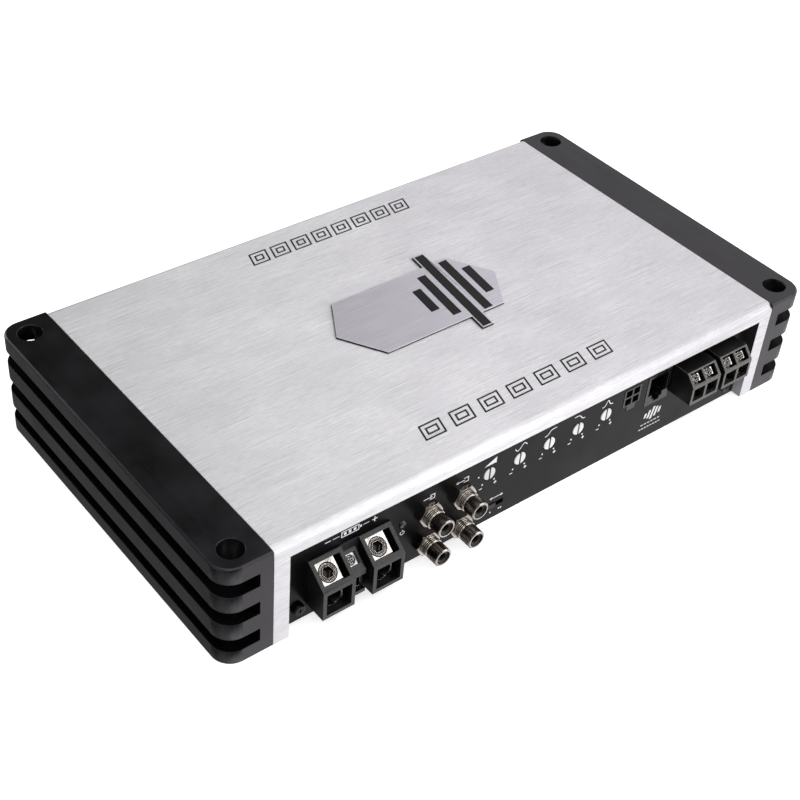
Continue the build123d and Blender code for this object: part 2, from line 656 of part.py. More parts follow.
def right_end_cap():
    """Finned cap: three grooves wrap round its front, outer side and back."""
    plan = RectangleRounded(2 * CAP_END, DEPTH, CORNER_RADIUS)
    cap = extrude(plan, HEIGHT) & block(BODY_END, CAP_END, FRONT_Y, BACK_Y, 0, HEIGHT)
    rim = cap.edges().group_by(Axis.Z)[-1]
    rim = [edge for edge in rim if edge.center().X > BODY_END + 0.1]
    cap = chamfer(rim, CAP_EDGE)
    core = extrude(RectangleRounded(2 * (CAP_END - GROOVE_DEPTH), DEPTH - 2 * GROOVE_DEPTH,
                                    CORNER_RADIUS - GROOVE_DEPTH), HEIGHT)
    for z in GROOVE_ZS:
        half = GROOVE_HEIGHT / 2
        ring = block(GROOVE_START, CAP_END + 1, FRONT_Y - 1, BACK_Y + 1, z - half, z + half)
        cap -= ring - core
    for y in (-MOUNT_Y, MOUNT_Y):
        cap -= rod((MOUNT_X, y, ACCESS_FLOOR), (0, 0, 1), ACCESS_RADIUS, HEIGHT)
        cap -= rod((MOUNT_X, y, -1), (0, 0, 1), MOUNT_HOLE_RADIUS, HEIGHT)
    for y in SCREW_RIB_YS:
        cap -= rod((BODY_END - 1, y, GROOVE_ZS[2]), (1, 0, 0), CLEAR_RADIUS, CAP_WIDTH)
    return cap


def left_end_cap():
    return mirror(right_end_cap(), Plane.YZ)


def bottom_plate():
    """Flat steel plate with two tabs bent up behind the panel."""
    plate = block(-PLATE_END, PLATE_END, PLATE_FRONT_Y, REBATE_Y - 0.2, 0, PLATE_THICK)
    for side in (-1, 1):
        plate += block(side * TAB_INNER_X, side * TAB_OUTER_X, PLATE_FRONT_Y,
                       PLATE_FRONT_Y + PLATE_THICK, 0, TAB_TOP)
        start = (side * TAB_SCREW_X, PLATE_FRONT_Y - 1, TAB_SCREW_Z)
        plate -= rod(start, (0, 1, 0), TAP_RADIUS, 4.0)
    for x in BOTTOM_SCREW_XS:
        plate -= rod((x, BOTTOM_SCREW_Y, -1), (0, 0, 1), CLEAR_RADIUS, 4.0)
        plate -= Pos(x, BOTTOM_SCREW_Y, 0) * standing_cone(SINK_RADIUS, CLEAR_RADIUS, SINK_DEPTH)
    for x, y in STANDOFF_SPOTS:
        plate -= rod((x, y, -1), (0, 0, 1), TAP_RADIUS, 4.0)
    return plate


def terminal_panel():
    """Black panel behind the window, cut for every socket, jack and control."""
    panel = block(-PANEL_X, PANEL_X, WALL_BACK_Y, PANEL_BACK_Y, 0, PANEL_TOP)
    gap = FIT_GAP
    front = WALL_BACK_Y - 1
    back = PANEL_BACK_Y + 1
    openings = [
        (POWER_XS[0] - POWER_HALF, POWER_XS[1] + POWER_HALF, POWER_FLOOR, POWER_TOP[1]),
        (HIGH_X[0], HIGH_X[1], HIGH_Z[0], HIGH_Z[1]),
        (HIGH_LATCH_X[0], HIGH_LATCH_X[1], HIGH_LATCH_Z, HIGH_Z[1]),
        (REMOTE_X[0], REMOTE_X[1], REMOTE_Z[0], REMOTE_Z[1]),
    ]
    openings += [(start, start + SPEAKER_WIDTH, SPEAKER_FLOOR, SPEAKER_TOP[1])
                 for start in SPEAKER_STARTS]
    for x0, x1, z0, z1 in openings:
        panel -= block(x0 - gap, x1 + gap, front, back, z0 - gap, z1 + gap)
    panel -= block(SWITCH_SLOT_X[0], SWITCH_SLOT_X[1], front, back,
                   SWITCH_SLOT_Z[0], SWITCH_SLOT_Z[1])
    holes = [(x, z, THREAD_RADIUS + 0.1) for x in JACK_XS for z in JACK_ZS]
    holes += [(x, TRIMMER_Z, TRIMMER_RADIUS + 0.35) for x in TRIMMER_XS]
    holes += [(x, TAB_SCREW_Z, CLEAR_RADIUS) for x in (-TAB_SCREW_X, TAB_SCREW_X)]
    holes.append((LED_X, LED_Z, LED_RADIUS + 0.1))
    for x, z, radius in holes:
        panel -= rod((x, front, z), (0, 1, 0), radius, back - front)
    return panel


def pan_screw(seat, inward, length):
    """M3 screw with a round head and a crossed recess; the seat is under its head."""
    outward = Vector(inward) * -1
    screw = rod(seat, inward, SCREW_RADIUS, length)
    head = rod(seat, outward, HEAD_RADIUS, HEAD_HEIGHT)
    rim = head.edges().sort_by(Axis(seat, outward))[-1]
    head = fillet(rim, 0.8)
    top = Vector(seat) + outward * HEAD_HEIGHT
    plane = Plane(origin=top, z_dir=outward)
    return screw + head - plane * cross_bars(CROSS_ARM, CROSS_WIDTH, CROSS_DEPTH)


def cap_screws():
    """Screws in the upper groove of each cap, into the ends of the ribs."""
    seat_x = CAP_END - GROOVE_DEPTH
    return group([pan_screw((side * seat_x, y, GROOVE_ZS[2]), (-side, 0, 0), CAP_SCREW_LENGTH)
                  for side in (-1, 1) for y in SCREW_RIB_YS])


def panel_screws():
    return group([pan_screw((x, WALL_BACK_Y, TAB_SCREW_Z), (0, 1, 0), PANEL_SCREW_LENGTH)
                  for x in (-TAB_SCREW_X, TAB_SCREW_X)])


def bottom_screws():
    """Countersunk screws, flush with the underside of the bottom plate."""
    screw = standing_cone(SINK_HEAD_RADIUS, SCREW_RADIUS, SINK_HEAD_DEPTH)
    screw += rod((0, 0, 0), (0, 0, 1), SCREW_RADIUS, BOTTOM_SCREW_LENGTH)
    screw -= cross_bars(CROSS_ARM, CROSS_WIDTH, CROSS_DEPTH * 0.7)
    return group([Pos(x, BOTTOM_SCREW_Y, 0.02) * screw for x in BOTTOM_SCREW_XS])


def bar_outlines(rim):
    """Outlines of the badge's slanted bars, widened by a rim."""
    outlines = []
    for i, length in enumerate(BAR_LENGTHS):
        x = BADGE_X + BAR_START_X + i * BAR_PITCH
        lean = BAR_SLANT * length / BADGE_WIDTH
        outlines.append(slanted_outline(x, BADGE_Y, BAR_WIDTH + 2 * rim, length + 2 * rim, lean))
    return outlines


def badge_plate():
    """Bright plate with pointed ends and pockets for the dark bars."""
    half = BADGE_LENGTH / 2
    side = BADGE_WIDTH / 2
    shoulder = half - BADGE_POINT
    corners = ((-half, 0), (-shoulder, -side), (shoulder, -side), (half, 0), (shoulder, side),
               (-shoulder, side))
    outline = [(BADGE_X + x, BADGE_Y + y) for x, y in corners]
    top = HEIGHT + BADGE_THICK
    plate = plan_prism(outline, HEIGHT, top)
    for bar in bar_outlines(BAR_RIM):
        plate += plan_prism(bar, HEIGHT, top)
    for bar in bar_outlines(0.05):
        plate -= plan_prism(bar, top - INLAY_DEPTH, top + 1)
    return plate


def badge_inlay():
    """Dark bars of different lengths, like the columns of a level meter."""
    top = HEIGHT + BADGE_THICK
    return group([plan_prism(bar, top - INLAY_DEPTH, top + INLAY_PROUD)
                  for bar in bar_outlines(0)])


# ---------------------------------------------------------------- boards and inner parts

def main_board():
    """Board above the bottom plate, notched under the lower phono jacks."""
    board = block(-BOARD_X, BOARD_X, BOARD_FRONT_Y, BOARD_REAR_Y, BOARD_BOTTOM, BOARD_TOP)
    board -= block(NOTCH_X[0], NOTCH_X[1], BOARD_FRONT_Y, CONTROL_BACK_Y + 0.2,
                   BOARD_BOTTOM - 1, BOARD_TOP + 1)
    for x, y in STANDOFF_SPOTS:
        board -= rod((x, y, BOARD_BOTTOM - 1), (0, 0, 1), CLEAR_RADIUS, 4.0)
    return board


def control_board():
    """Upright board behind the panel that carries the jacks, trimmers and sockets."""
    board = block(CONTROL_X[0], CONTROL_X[1], CONTROL_FACE_Y, CONTROL_BACK_Y,
                  BOARD_TOP, CONTROL_TOP)
    board += block(NOTCH_X[0] + 0.3, NOTCH_X[1] - 0.3, CONTROL_FACE_Y, CONTROL_BACK_Y,
                   NOTCH_FLOOR, BOARD_TOP)
    return board


def board_standoffs():
    return group([rod((x, y, PLATE_THICK), (0, 0, 1), 3.0, BOARD_BOTTOM - PLATE_THICK)
                  - rod((x, y, 0), (0, 0, 1), TAP_RADIUS, 8.0) for x, y in STANDOFF_SPOTS])


def board_screws():
    length = BOARD_TOP - PLATE_THICK
    return group([pan_screw((x, y, BOARD_TOP), (0, 0, -1), length) for x, y in STANDOFF_SPOTS])


def transformer_core():
    """Ferrite ring of the supply transformer."""
    x, y = TRANSFORMER_SPOT
    cover = WIRE_THICK + WIRE_GAP
    outer = TRANSFORMER_RADIUS - cover
    inner = TRANSFORMER_BORE + cover
    z0 = TRANSFORMER_Z[0] + cover
    height = TRANSFORMER_Z[1] - TRANSFORMER_Z[0] - 2 * cover
    ring = rod((x, y, z0), (0, 0, 1), outer, height)
    return ring - rod((x, y, z0 - 1), (0, 0, 1), inner, height + 2)


def transformer_winding():
    """Turns of thick wire, each a closed loop round the ferrite ring."""
    x, y = TRANSFORMER_SPOT
    z0, z1 = TRANSFORMER_Z
    height = z1 - z0
    ring = Cylinder(TRANSFORMER_RADIUS, height) - Cylinder(TRANSFORMER_BORE, height + 2)
    hollow = Cylinder(TRANSFORMER_RADIUS - WIRE_THICK, height - 2 * WIRE_THICK)
    hollow -= Cylinder(TRANSFORMER_BORE + WIRE_THICK, height)
    ring -= hollow
    step = 360 / TURN_COUNT
    slab_x = (TRANSFORMER_BORE + TRANSFORMER_RADIUS) / 2
    slab_length = 1.5 * (TRANSFORMER_RADIUS - TRANSFORMER_BORE)
    turns = []
    for i in range(TURN_COUNT):
        slab = Rot(0, 0, i * step) * Pos(slab_x, 0, 0) * Box(slab_length, WIRE_WIDTH, height + 2)
        turns.append(Pos(x, y, (z0 + z1) / 2) * (ring & slab))
    return group(turns)


def can_capacitor(x, y, radius, top):
    """Electrolytic can with a crimp groove and a scored top."""
    can = rod((x, y, BOARD_TOP), (0, 0, 1), radius, top - BOARD_TOP)
    can = fillet(can.edges().group_by(Axis.Z)[-1], 1.0)
    groove = Torus(radius + 0.4, CAN_CRIMP_RADIUS)
    score = cross_bars(radius * 1.3, 0.6, 0.4)
    return can - Pos(x, y, BOARD_TOP + CAN_CRIMP_HEIGHT) * groove - Pos(x, y, top) * score


def input_capacitors():
    return group([can_capacitor(x, INPUT_CAP_Y, INPUT_CAP_RADIUS, INPUT_CAP_TOP)
                  for x in INPUT_CAP_XS])


def rail_capacitors():
    return group([can_capacitor(x, y, RAIL_CAP_RADIUS, RAIL_CAP_TOP) for x, y in RAIL_CAP_SPOTS])


def output_inductor_core():
    """Two-window ferrite core of the output filter."""
    x, y = INDUCTOR_SPOT
    half = INDUCTOR_HALF
    core = block(x - half, x + half, y - half, y + half, BOARD_TOP, INDUCTOR_TOP)
    centre_z = (BOARD_TOP + INDUCTOR_TOP) / 2
    ring = Cylinder(INDUCTOR_WINDOW, INDUCTOR_CHAMBER) - Cylinder(INDUCTOR_LEG, INDUCTOR_CHAMBER)
    core -= Pos(x, y, centre_z) * ring
    for side in (-1, 1):
        mouth = Box(half - 2, half, INDUCTOR_CHAMBER)
        core -= Pos(x, y + side * (9 + half / 2), centre_z) * mouth
    return core


def output_inductor_coil():
    """Flat-wire coil round the centre leg of the output core."""
    x, y = INDUCTOR_SPOT
    outer = INDUCTOR_WINDOW - INDUCTOR_GAP
    height = INDUCTOR_CHAMBER - 2 * INDUCTOR_GAP
    coil = Cylinder(outer, height) - Cylinder(INDUCTOR_LEG + INDUCTOR_GAP, height)
    groove = Cylinder(outer + 1, 0.5) - Cylinder(outer - 1.5, 0.5)
    for i in range(1, COIL_TURNS):
        coil -= Pos(0, 0, i * height / COIL_TURNS - height / 2) * groove
    return Pos(x, y, (BOARD_TOP + INDUCTOR_TOP) / 2) * coil


def transistors(positions):
    """Power transistors that stand on three legs against the back wall."""
    devices = []
    mid_y = (DEVICE_FRONT_Y + DEVICE_REAR_Y) / 2
    for x in positions:
        body = block(x - DEVICE_WIDTH / 2, x + DEVICE_WIDTH / 2, DEVICE_FRONT_Y, DEVICE_REAR_Y,
                     DEVICE_Z[0], DEVICE_Z[1])
        body -= rod((x, DEVICE_FRONT_Y - 1, DEVICE_Z[1] - 2.0), (0, 1, 0), 1.2, 2.0)
        for offset in DEVICE_LEGS:
            body += block(x + offset - 0.5, x + offset + 0.5, mid_y - 0.3, mid_y + 0.3,
                          BOARD_TOP, DEVICE_Z[0])
        devices.append(body)
    return group(devices)


def clamp_runs():
    """Ends along X of the strips that serve each row of transistors."""
    return [(row[0] - STRIP_MARGIN, row[-1] + STRIP_MARGIN) for row in (SUPPLY_XS, OUTPUT_XS)]


def thermal_pads():
    pads = []
    for x0, x1 in clamp_runs():
        pad = block(x0, x1, DEVICE_REAR_Y, WALL_INNER_Y, DEVICE_Z[0] - 2, DEVICE_Z[1] + 2)
        for x in CLAMP_SCREW_XS:
            pad -= rod((x, DEVICE_REAR_Y - 1, CLAMP_SCREW_Z), (0, 1, 0), CLEAR_RADIUS, 3.0)
        pads.append(pad)
    return group(pads)


def clamp_bars():
    bars = []
    for x0, x1 in clamp_runs():
        bar = block(x0, x1, DEVICE_FRONT_Y - CLAMP_BAR_THICK, DEVICE_FRONT_Y,
                    CLAMP_BAR_Z[0], CLAMP_BAR_Z[1])
        for x in CLAMP_SCREW_XS:
            bar -= rod((x, DEVICE_FRONT_Y - 5, CLAMP_SCREW_Z), (0, 1, 0), CLEAR_RADIUS, 8.0)
        bars.append(bar)
    return group(bars)


def clamp_screws():
    seat_y = DEVICE_FRONT_Y - CLAMP_BAR_THICK
    return group([pan_screw((x, seat_y, CLAMP_SCREW_Z), (0, 1, 0), CLAMP_SCREW_LENGTH)
                  for x in CLAMP_SCREW_XS])


# ---------------------------------------------------------------- jacks, controls and sockets

def jack_spots():
    return [(x, z) for x in JACK_XS for z in JACK_ZS]


def rca_shells():
    """Threaded barrels, each with a flange behind the panel."""
    shells = []
    for x, z in jack_spots():
        shell = rod((x, JACK_TIP_Y, z), (0, 1, 0), JACK_RADIUS, JACK_SHOULDER_Y - JACK_TIP_Y)
        rim = shell.edges().sort_by(Axis.Y)[0]
        shell = chamfer(rim, 0.35)
        length = CONTROL_FACE_Y - JACK_TIP_Y
        shell += rod((x, JACK_TIP_Y + 1, z), (0, 1, 0), JACK_RELIEF_RADIUS, length - 1)
        shell += rod((x, JACK_RELIEF_Y, z), (0, 1, 0), THREAD_RADIUS,
                     CONTROL_FACE_Y - JACK_RELIEF_Y)
        shell += rod((x, PANEL_BACK_Y, z), (0, 1, 0), JACK_FLANGE_RADIUS, 1.6)
        shell -= rod((x, JACK_TIP_Y - 1, z), (0, 1, 0), JACK_BORE, length + 2)
        for i in range(THREAD_COUNT):
            groove = Cylinder(THREAD_RADIUS + 1, 0.35) - Cylinder(THREAD_RADIUS - 0.3, 0.35)
            y = NUT_FACE_Y - 0.5 - i * THREAD_PITCH
            shell -= Pos(x, y, z) * Rot(90, 0, 0) * groove
        shells.append(shell)
    return group(shells)


def rca_nuts():
    nuts = []
    for x, z in jack_spots():
        nut = hex_prism(x, z, NUT_FACE_Y, WALL_BACK_Y, NUT_RADIUS)
        cone = Cone(NUT_RADIUS + 1.4, NUT_RADIUS - 0.6, 2.0)
        tip = Pos(x, NUT_FACE_Y + 1.0, z) * Rot(90, 0, 0) * cone
        barrel = rod((x, NUT_FACE_Y + 1.9, z), (0, 1, 0), NUT_RADIUS + 1, 3.0)
        nut = nut & (tip + barrel)
        nuts.append(nut - rod((x, NUT_FACE_Y - 1, z), (0, 1, 0), THREAD_RADIUS + 0.05, 6.0))
    return group(nuts)


def rca_insulators():
    """Black cores inside the barrels."""
    start_y = JACK_TIP_Y + 1.0
    length = CONTROL_FACE_Y - start_y
    return group([rod((x, start_y, z), (0, 1, 0), CORE_RADIUS, length)
                  - rod((x, start_y - 1, z), (0, 1, 0), CONTACT_RADIUS + 0.02, length + 2)
                  for x, z in jack_spots()])


def rca_contacts():
    """Centre sockets that take the plug's pin."""
    start_y = JACK_TIP_Y + 1.6
    length = CONTROL_FACE_Y - start_y
    return group([rod((x, start_y, z), (0, 1, 0), CONTACT_RADIUS, length)
                  - rod((x, start_y - 1, z), (0, 1, 0), CONTACT_BORE, CONTACT_DEPTH + 1)
                  for x, z in jack_spots()])


def trimmer_bodies():
    bodies = []
    for x in TRIMMER_XS:
        body = block(x - TRIMMER_BODY_HALF, x + TRIMMER_BODY_HALF, TRIMMER_BODY_Y,
                     CONTROL_FACE_Y, TRIMMER_BODY_Z[0], TRIMMER_BODY_Z[1])
        body -= rod((x, WALL_BACK_Y, TRIMMER_Z), (0, 1, 0), TRIMMER_RADIUS + RUNNING_GAP,
                    TRIMMER_REAR_Y - WALL_BACK_Y + RUNNING_GAP)
        bodies.append(body)
    return group(bodies)


def trimmer_shaft(x):
    """Rotor with a screwdriver slot, turned from the front."""
    shaft = rod((x, TRIMMER_FACE_Y, TRIMMER_Z), (0, 1, 0), TRIMMER_RADIUS,
                TRIMMER_REAR_Y - TRIMMER_FACE_Y)
    rim = shaft.edges().sort_by(Axis.Y)[0]
    shaft = chamfer(rim, 0.3)
    half = TRIMMER_SLOT_WIDTH / 2
    return shaft - block(x - half, x + half, TRIMMER_FACE_Y - 1,
                         TRIMMER_FACE_Y + TRIMMER_SLOT_DEPTH,
                         TRIMMER_Z - TRIMMER_RADIUS - 1, TRIMMER_Z + TRIMMER_RADIUS + 1)


def switch_body():
    x0, x1 = SWITCH_SLOT_X
    body = block(x0 - 1.4, x1 + 1.4, SWITCH_BODY_Y, CONTROL_FACE_Y, BOARD_TOP + 0.1,
                 SWITCH_BODY_TOP)
    return body - block(x0, x1, SWITCH_BODY_Y - 1, SWITCH_CHANNEL_Y,
                        SWITCH_SLOT_Z[0], SWITCH_SLOT_Z[1])


def switch_slider():
    """Sliding knob with three grip grooves, at the left end of its slot."""
    x0 = SWITCH_SLOT_X[0] + 0.2
    x1 = x0 + SLIDER_WIDTH
    half = SLIDER_HALF_HEIGHT
    slider = block(x0, x1, SLIDER_TIP_Y, SWITCH_CHANNEL_Y - 0.3, SWITCH_Z - half, SWITCH_Z + half)
    for i in (-1, 0, 1):
        x = (x0 + x1) / 2 + i * 0.9
        slider -= block(x - 0.15, x + 0.15, SLIDER_TIP_Y - 1, SLIDER_TIP_Y + 0.35,
                        SWITCH_Z - 2, SWITCH_Z + 2)
    return slider


def status_led():
    """Indicator lamp: a domed lens on two legs."""
    lamp = rod((LED_X, LED_TIP_Y, LED_Z), (0, 1, 0), LED_RADIUS, LED_LENGTH)
    rim = lamp.edges().sort_by(Axis.Y)[0]
    lamp = fillet(rim, 1.2)
    lamp += rod((LED_X, PANEL_BACK_Y + 0.2, LED_Z), (0, 1, 0), LED_RADIUS + 0.5, 3.5)
    for side in (-1, 1):
        lamp += rod((LED_X + side * LED_LEG_OFFSET, PANEL_BACK_Y + 1, LED_Z), (0, 1, 0),
                    LED_LEG_RADIUS, CONTROL_FACE_Y - PANEL_BACK_Y - 1)
    return lamp


def high_level_cells():
    centre_x = sum(HIGH_X) / 2
    centre_z = sum(HIGH_Z) / 2
    half = HIGH_PITCH / 2
    return [(centre_x + i * half, centre_z + j * half) for i in (-1, 1) for j in (-1, 1)]


def high_level_socket():
    """Four-cell socket with a latch ramp under it."""
    body = block(HIGH_X[0], HIGH_X[1], SOCKET_FACE_Y, CONTROL_FACE_Y, HIGH_Z[0], HIGH_Z[1])
    foot_y, back_y = HIGH_LATCH_YS
    ramp = ((SOCKET_FACE_Y, HIGH_LATCH_Z), (SOCKET_FACE_Y, HIGH_Z[0] + 0.5),
            (back_y, HIGH_Z[0] + 0.5), (back_y, HIGH_Z[0] - 0.8), (foot_y, HIGH_LATCH_Z))
    body += side_prism(ramp, HIGH_LATCH_X[0], HIGH_LATCH_X[1])
    half = HIGH_CELL / 2
    pin = HIGH_PIN_HALF + 0.1
    for x, z in high_level_cells():
        body -= block(x - half, x + half, SOCKET_FACE_Y - 1, SOCKET_BOTTOM_Y, z - half, z + half)
        body -= block(x - pin, x + pin, SOCKET_BOTTOM_Y - 1, CONTROL_FACE_Y + 1, z - pin, z + pin)
    return body


def remote_jack():
    """Eight-contact jack for the wired level control, with its latch keyway at the bottom."""
    body = block(REMOTE_X[0], REMOTE_X[1], SOCKET_FACE_Y, CONTROL_FACE_Y, REMOTE_Z[0], REMOTE_Z[1])
    front = SOCKET_FACE_Y - 1
    body -= block(REMOTE_MOUTH_X[0], REMOTE_MOUTH_X[1], front, SOCKET_BOTTOM_Y,
                  REMOTE_MOUTH_Z[0], REMOTE_MOUTH_Z[1])
    for x0, x1, low in REMOTE_KEYS:
        body -= block(x0, x1, front, SOCKET_BOTTOM_Y - 2, low, REMOTE_MOUTH_Z[0] + 0.5)
    return body


def socket_contacts():
    """Pins of the four-cell socket and spring wires of the remote jack."""
    pin = HIGH_PIN_HALF
    contacts = [block(x - pin, x + pin, HIGH_PIN_Y, CONTROL_FACE_Y, z - pin, z + pin)
                for x, z in high_level_cells()]
    centre = sum(REMOTE_MOUTH_X) / 2
    first = centre - (REMOTE_PIN_COUNT - 1) * REMOTE_PIN_PITCH / 2
    top = REMOTE_MOUTH_Z[1]
    front, back = REMOTE_SPRING_YS
    for i in range(REMOTE_PIN_COUNT):
        x = first + i * REMOTE_PIN_PITCH
        outline = ((front, top), (front, top - 0.4), (back - 0.3, top - 2.8), (back, top - 2.4),
                   (front + 1.0, top - 0.1), (front + 1.0, top))
        contacts.append(side_prism(outline, x - 0.2, x + 0.2))
    return group(contacts)


def build():
    """Every node of the amplifier, by name."""
    nodes = {
        "heatsink_shell": heatsink_shell(),
        "left_end_cap": left_end_cap(),
        "right_end_cap": right_end_cap(),
        "bottom_plate": bottom_plate(),
        "terminal_panel": terminal_panel(),
        "cap_screws": cap_screws(),
        "panel_screws": panel_screws(),
        "bottom_screws": bottom_screws(),
        "badge_plate": badge_plate(),
        "badge_inlay": badge_inlay(),
        "main_board": main_board(),
        "control_board": control_board(),
        "board_standoffs": board_standoffs(),
        "board_screws": board_screws(),
        "transformer_core": transformer_core(),
        "transformer_winding": transformer_winding(),
        "input_capacitors": input_capacitors(),
        "rail_capacitors": rail_capacitors(),
        "output_inductor_core": output_inductor_core(),
        "output_inductor_coil": output_inductor_coil(),
        "supply_transistors": transistors(SUPPLY_XS),
        "output_transistors": transistors(OUTPUT_XS),
        "thermal_pads": thermal_pads(),
        "clamp_bars": clamp_bars(),
        "clamp_screws": clamp_screws(),
        "power_terminal_housing": power_terminal_housing(),
        "power_clamps": power_clamps(),
        "remote_clamp": remote_clamp(),
        "remote_screw": cross_screw(REM_TERMINAL),
        "remote_pad": REM_TERMINAL.pad(),
        "speaker_terminal_housings": speaker_terminal_housings(),
        "speaker_clamps": speaker_clamps(),
        "rca_shells": rca_shells(),
        "rca_nuts": rca_nuts(),
        "rca_insulators": rca_insulators(),
        "rca_contacts": rca_contacts(),
        "trimmer_bodies": trimmer_bodies(),
        "switch_body": switch_body(),
        "switch_slider": switch_slider(),
        "status_led": status_led(),
        "high_level_socket": high_level_socket(),
        "remote_jack": remote_jack(),
        "socket_contacts": socket_contacts(),
    }
    for side, terminal in zip(("left", "right"), POWER_TERMINALS):
        nodes["power_screw_" + side] = socket_screw(terminal)
        nodes["power_pad_" + side] = terminal.pad()
    for number, terminal in enumerate(SPEAKER_TERMINALS, start=1):
        nodes[f"speaker_screw_{number}"] = cross_screw(terminal)
        nodes[f"speaker_pad_{number}"] = terminal.pad()
    for name, x in zip(TRIMMER_NAMES, TRIMMER_XS):
        nodes[name + "_trimmer"] = trimmer_shaft(x)
    return nodes


os.makedirs("parts", exist_ok=True)
for node, shape in build().items():
    export_step(shape, f"parts/{node}.step")
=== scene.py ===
import json
import math

import bmesh
import bpy
from mathutils import Matrix, Vector


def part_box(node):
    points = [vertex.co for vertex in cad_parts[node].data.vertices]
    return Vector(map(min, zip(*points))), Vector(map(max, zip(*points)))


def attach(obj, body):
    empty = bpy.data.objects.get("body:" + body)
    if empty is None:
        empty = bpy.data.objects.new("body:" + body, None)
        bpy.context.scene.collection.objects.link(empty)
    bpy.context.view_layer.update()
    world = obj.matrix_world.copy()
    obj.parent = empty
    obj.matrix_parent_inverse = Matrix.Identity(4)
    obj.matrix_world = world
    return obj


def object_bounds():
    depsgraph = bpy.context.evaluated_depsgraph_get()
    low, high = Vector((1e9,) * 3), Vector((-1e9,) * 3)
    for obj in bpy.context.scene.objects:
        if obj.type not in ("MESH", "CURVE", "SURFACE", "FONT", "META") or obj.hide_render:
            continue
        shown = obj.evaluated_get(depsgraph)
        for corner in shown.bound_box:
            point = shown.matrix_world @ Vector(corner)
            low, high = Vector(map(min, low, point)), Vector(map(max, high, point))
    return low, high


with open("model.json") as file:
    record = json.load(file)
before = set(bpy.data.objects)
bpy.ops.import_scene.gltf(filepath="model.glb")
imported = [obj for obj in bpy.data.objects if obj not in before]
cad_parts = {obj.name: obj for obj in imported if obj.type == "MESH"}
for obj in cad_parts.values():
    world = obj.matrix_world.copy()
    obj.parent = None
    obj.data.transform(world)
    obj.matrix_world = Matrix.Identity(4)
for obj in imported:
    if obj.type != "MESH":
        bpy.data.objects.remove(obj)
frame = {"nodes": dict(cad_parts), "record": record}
cad_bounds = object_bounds()

MM = 0.001


# ------------------------------------------------------------------ node helpers

def colour(hex_code):
    """Linear RGBA of an sRGB colour written as six hex digits."""
    channels = [int(hex_code[i:i + 2], 16) / 255 for i in (0, 2, 4)]
    linear = [c / 12.92 if c <= 0.04045 else ((c + 0.055) / 1.055) ** 2.4 for c in channels]
    return (*linear, 1.0)


class Nodes:
    """A node tree and short ways to add to it."""

    def __init__(self, tree):
        self.tree = tree

    def node(self, kind, **settings):
        """A new node with these properties."""
        made = self.tree.nodes.new(kind)
        for key, value in settings.items():
            setattr(made, key, value)
        return made

    def link(self, source, target):
        """Connect an output to an input."""
        self.tree.links.new(source, target)

    def feed(self, value, socket):
        """Connect a socket, or set a plain value."""
        if isinstance(value, bpy.types.NodeSocket):
            self.link(value, socket)
        else:
            socket.default_value = value

    def spread(self, value, low, high, start=0.3, end=0.7, shape="LINEAR"):
        """Map a value from start..end to low..high, held at the ends."""
        ranger = self.node("ShaderNodeMapRange", interpolation_type=shape)
        self.link(value, ranger.inputs["Value"])
        for key, number in (("From Min", start), ("From Max", end), ("To Min", low), ("To Max", high)):
            ranger.inputs[key].default_value = number
        return ranger.outputs["Result"]

    def maths(self, operation, first, second=0.0):
        """Result of a sum or comparison of one or two numbers."""
        made = self.node("ShaderNodeMath", operation=operation)
        self.feed(first, made.inputs[0])
        self.feed(second, made.inputs[1])
        return made.outputs["Value"]

    def agreement(self, first, second):
        """Dot product of two directions."""
        made = self.node("ShaderNodeVectorMath", operation="DOT_PRODUCT")
        self.feed(first, made.inputs[0])
        self.feed(second, made.inputs[1])
        return made.outputs["Value"]

    def mix(self, factor, first, second):
        """Colour between two colours."""
        made = self.node("ShaderNodeMix", data_type="RGBA")
        self.feed(factor, made.inputs["Factor"])
        self.feed(first, made.inputs["A"])
        self.feed(second, made.inputs["B"])
        return made.outputs["Result"]


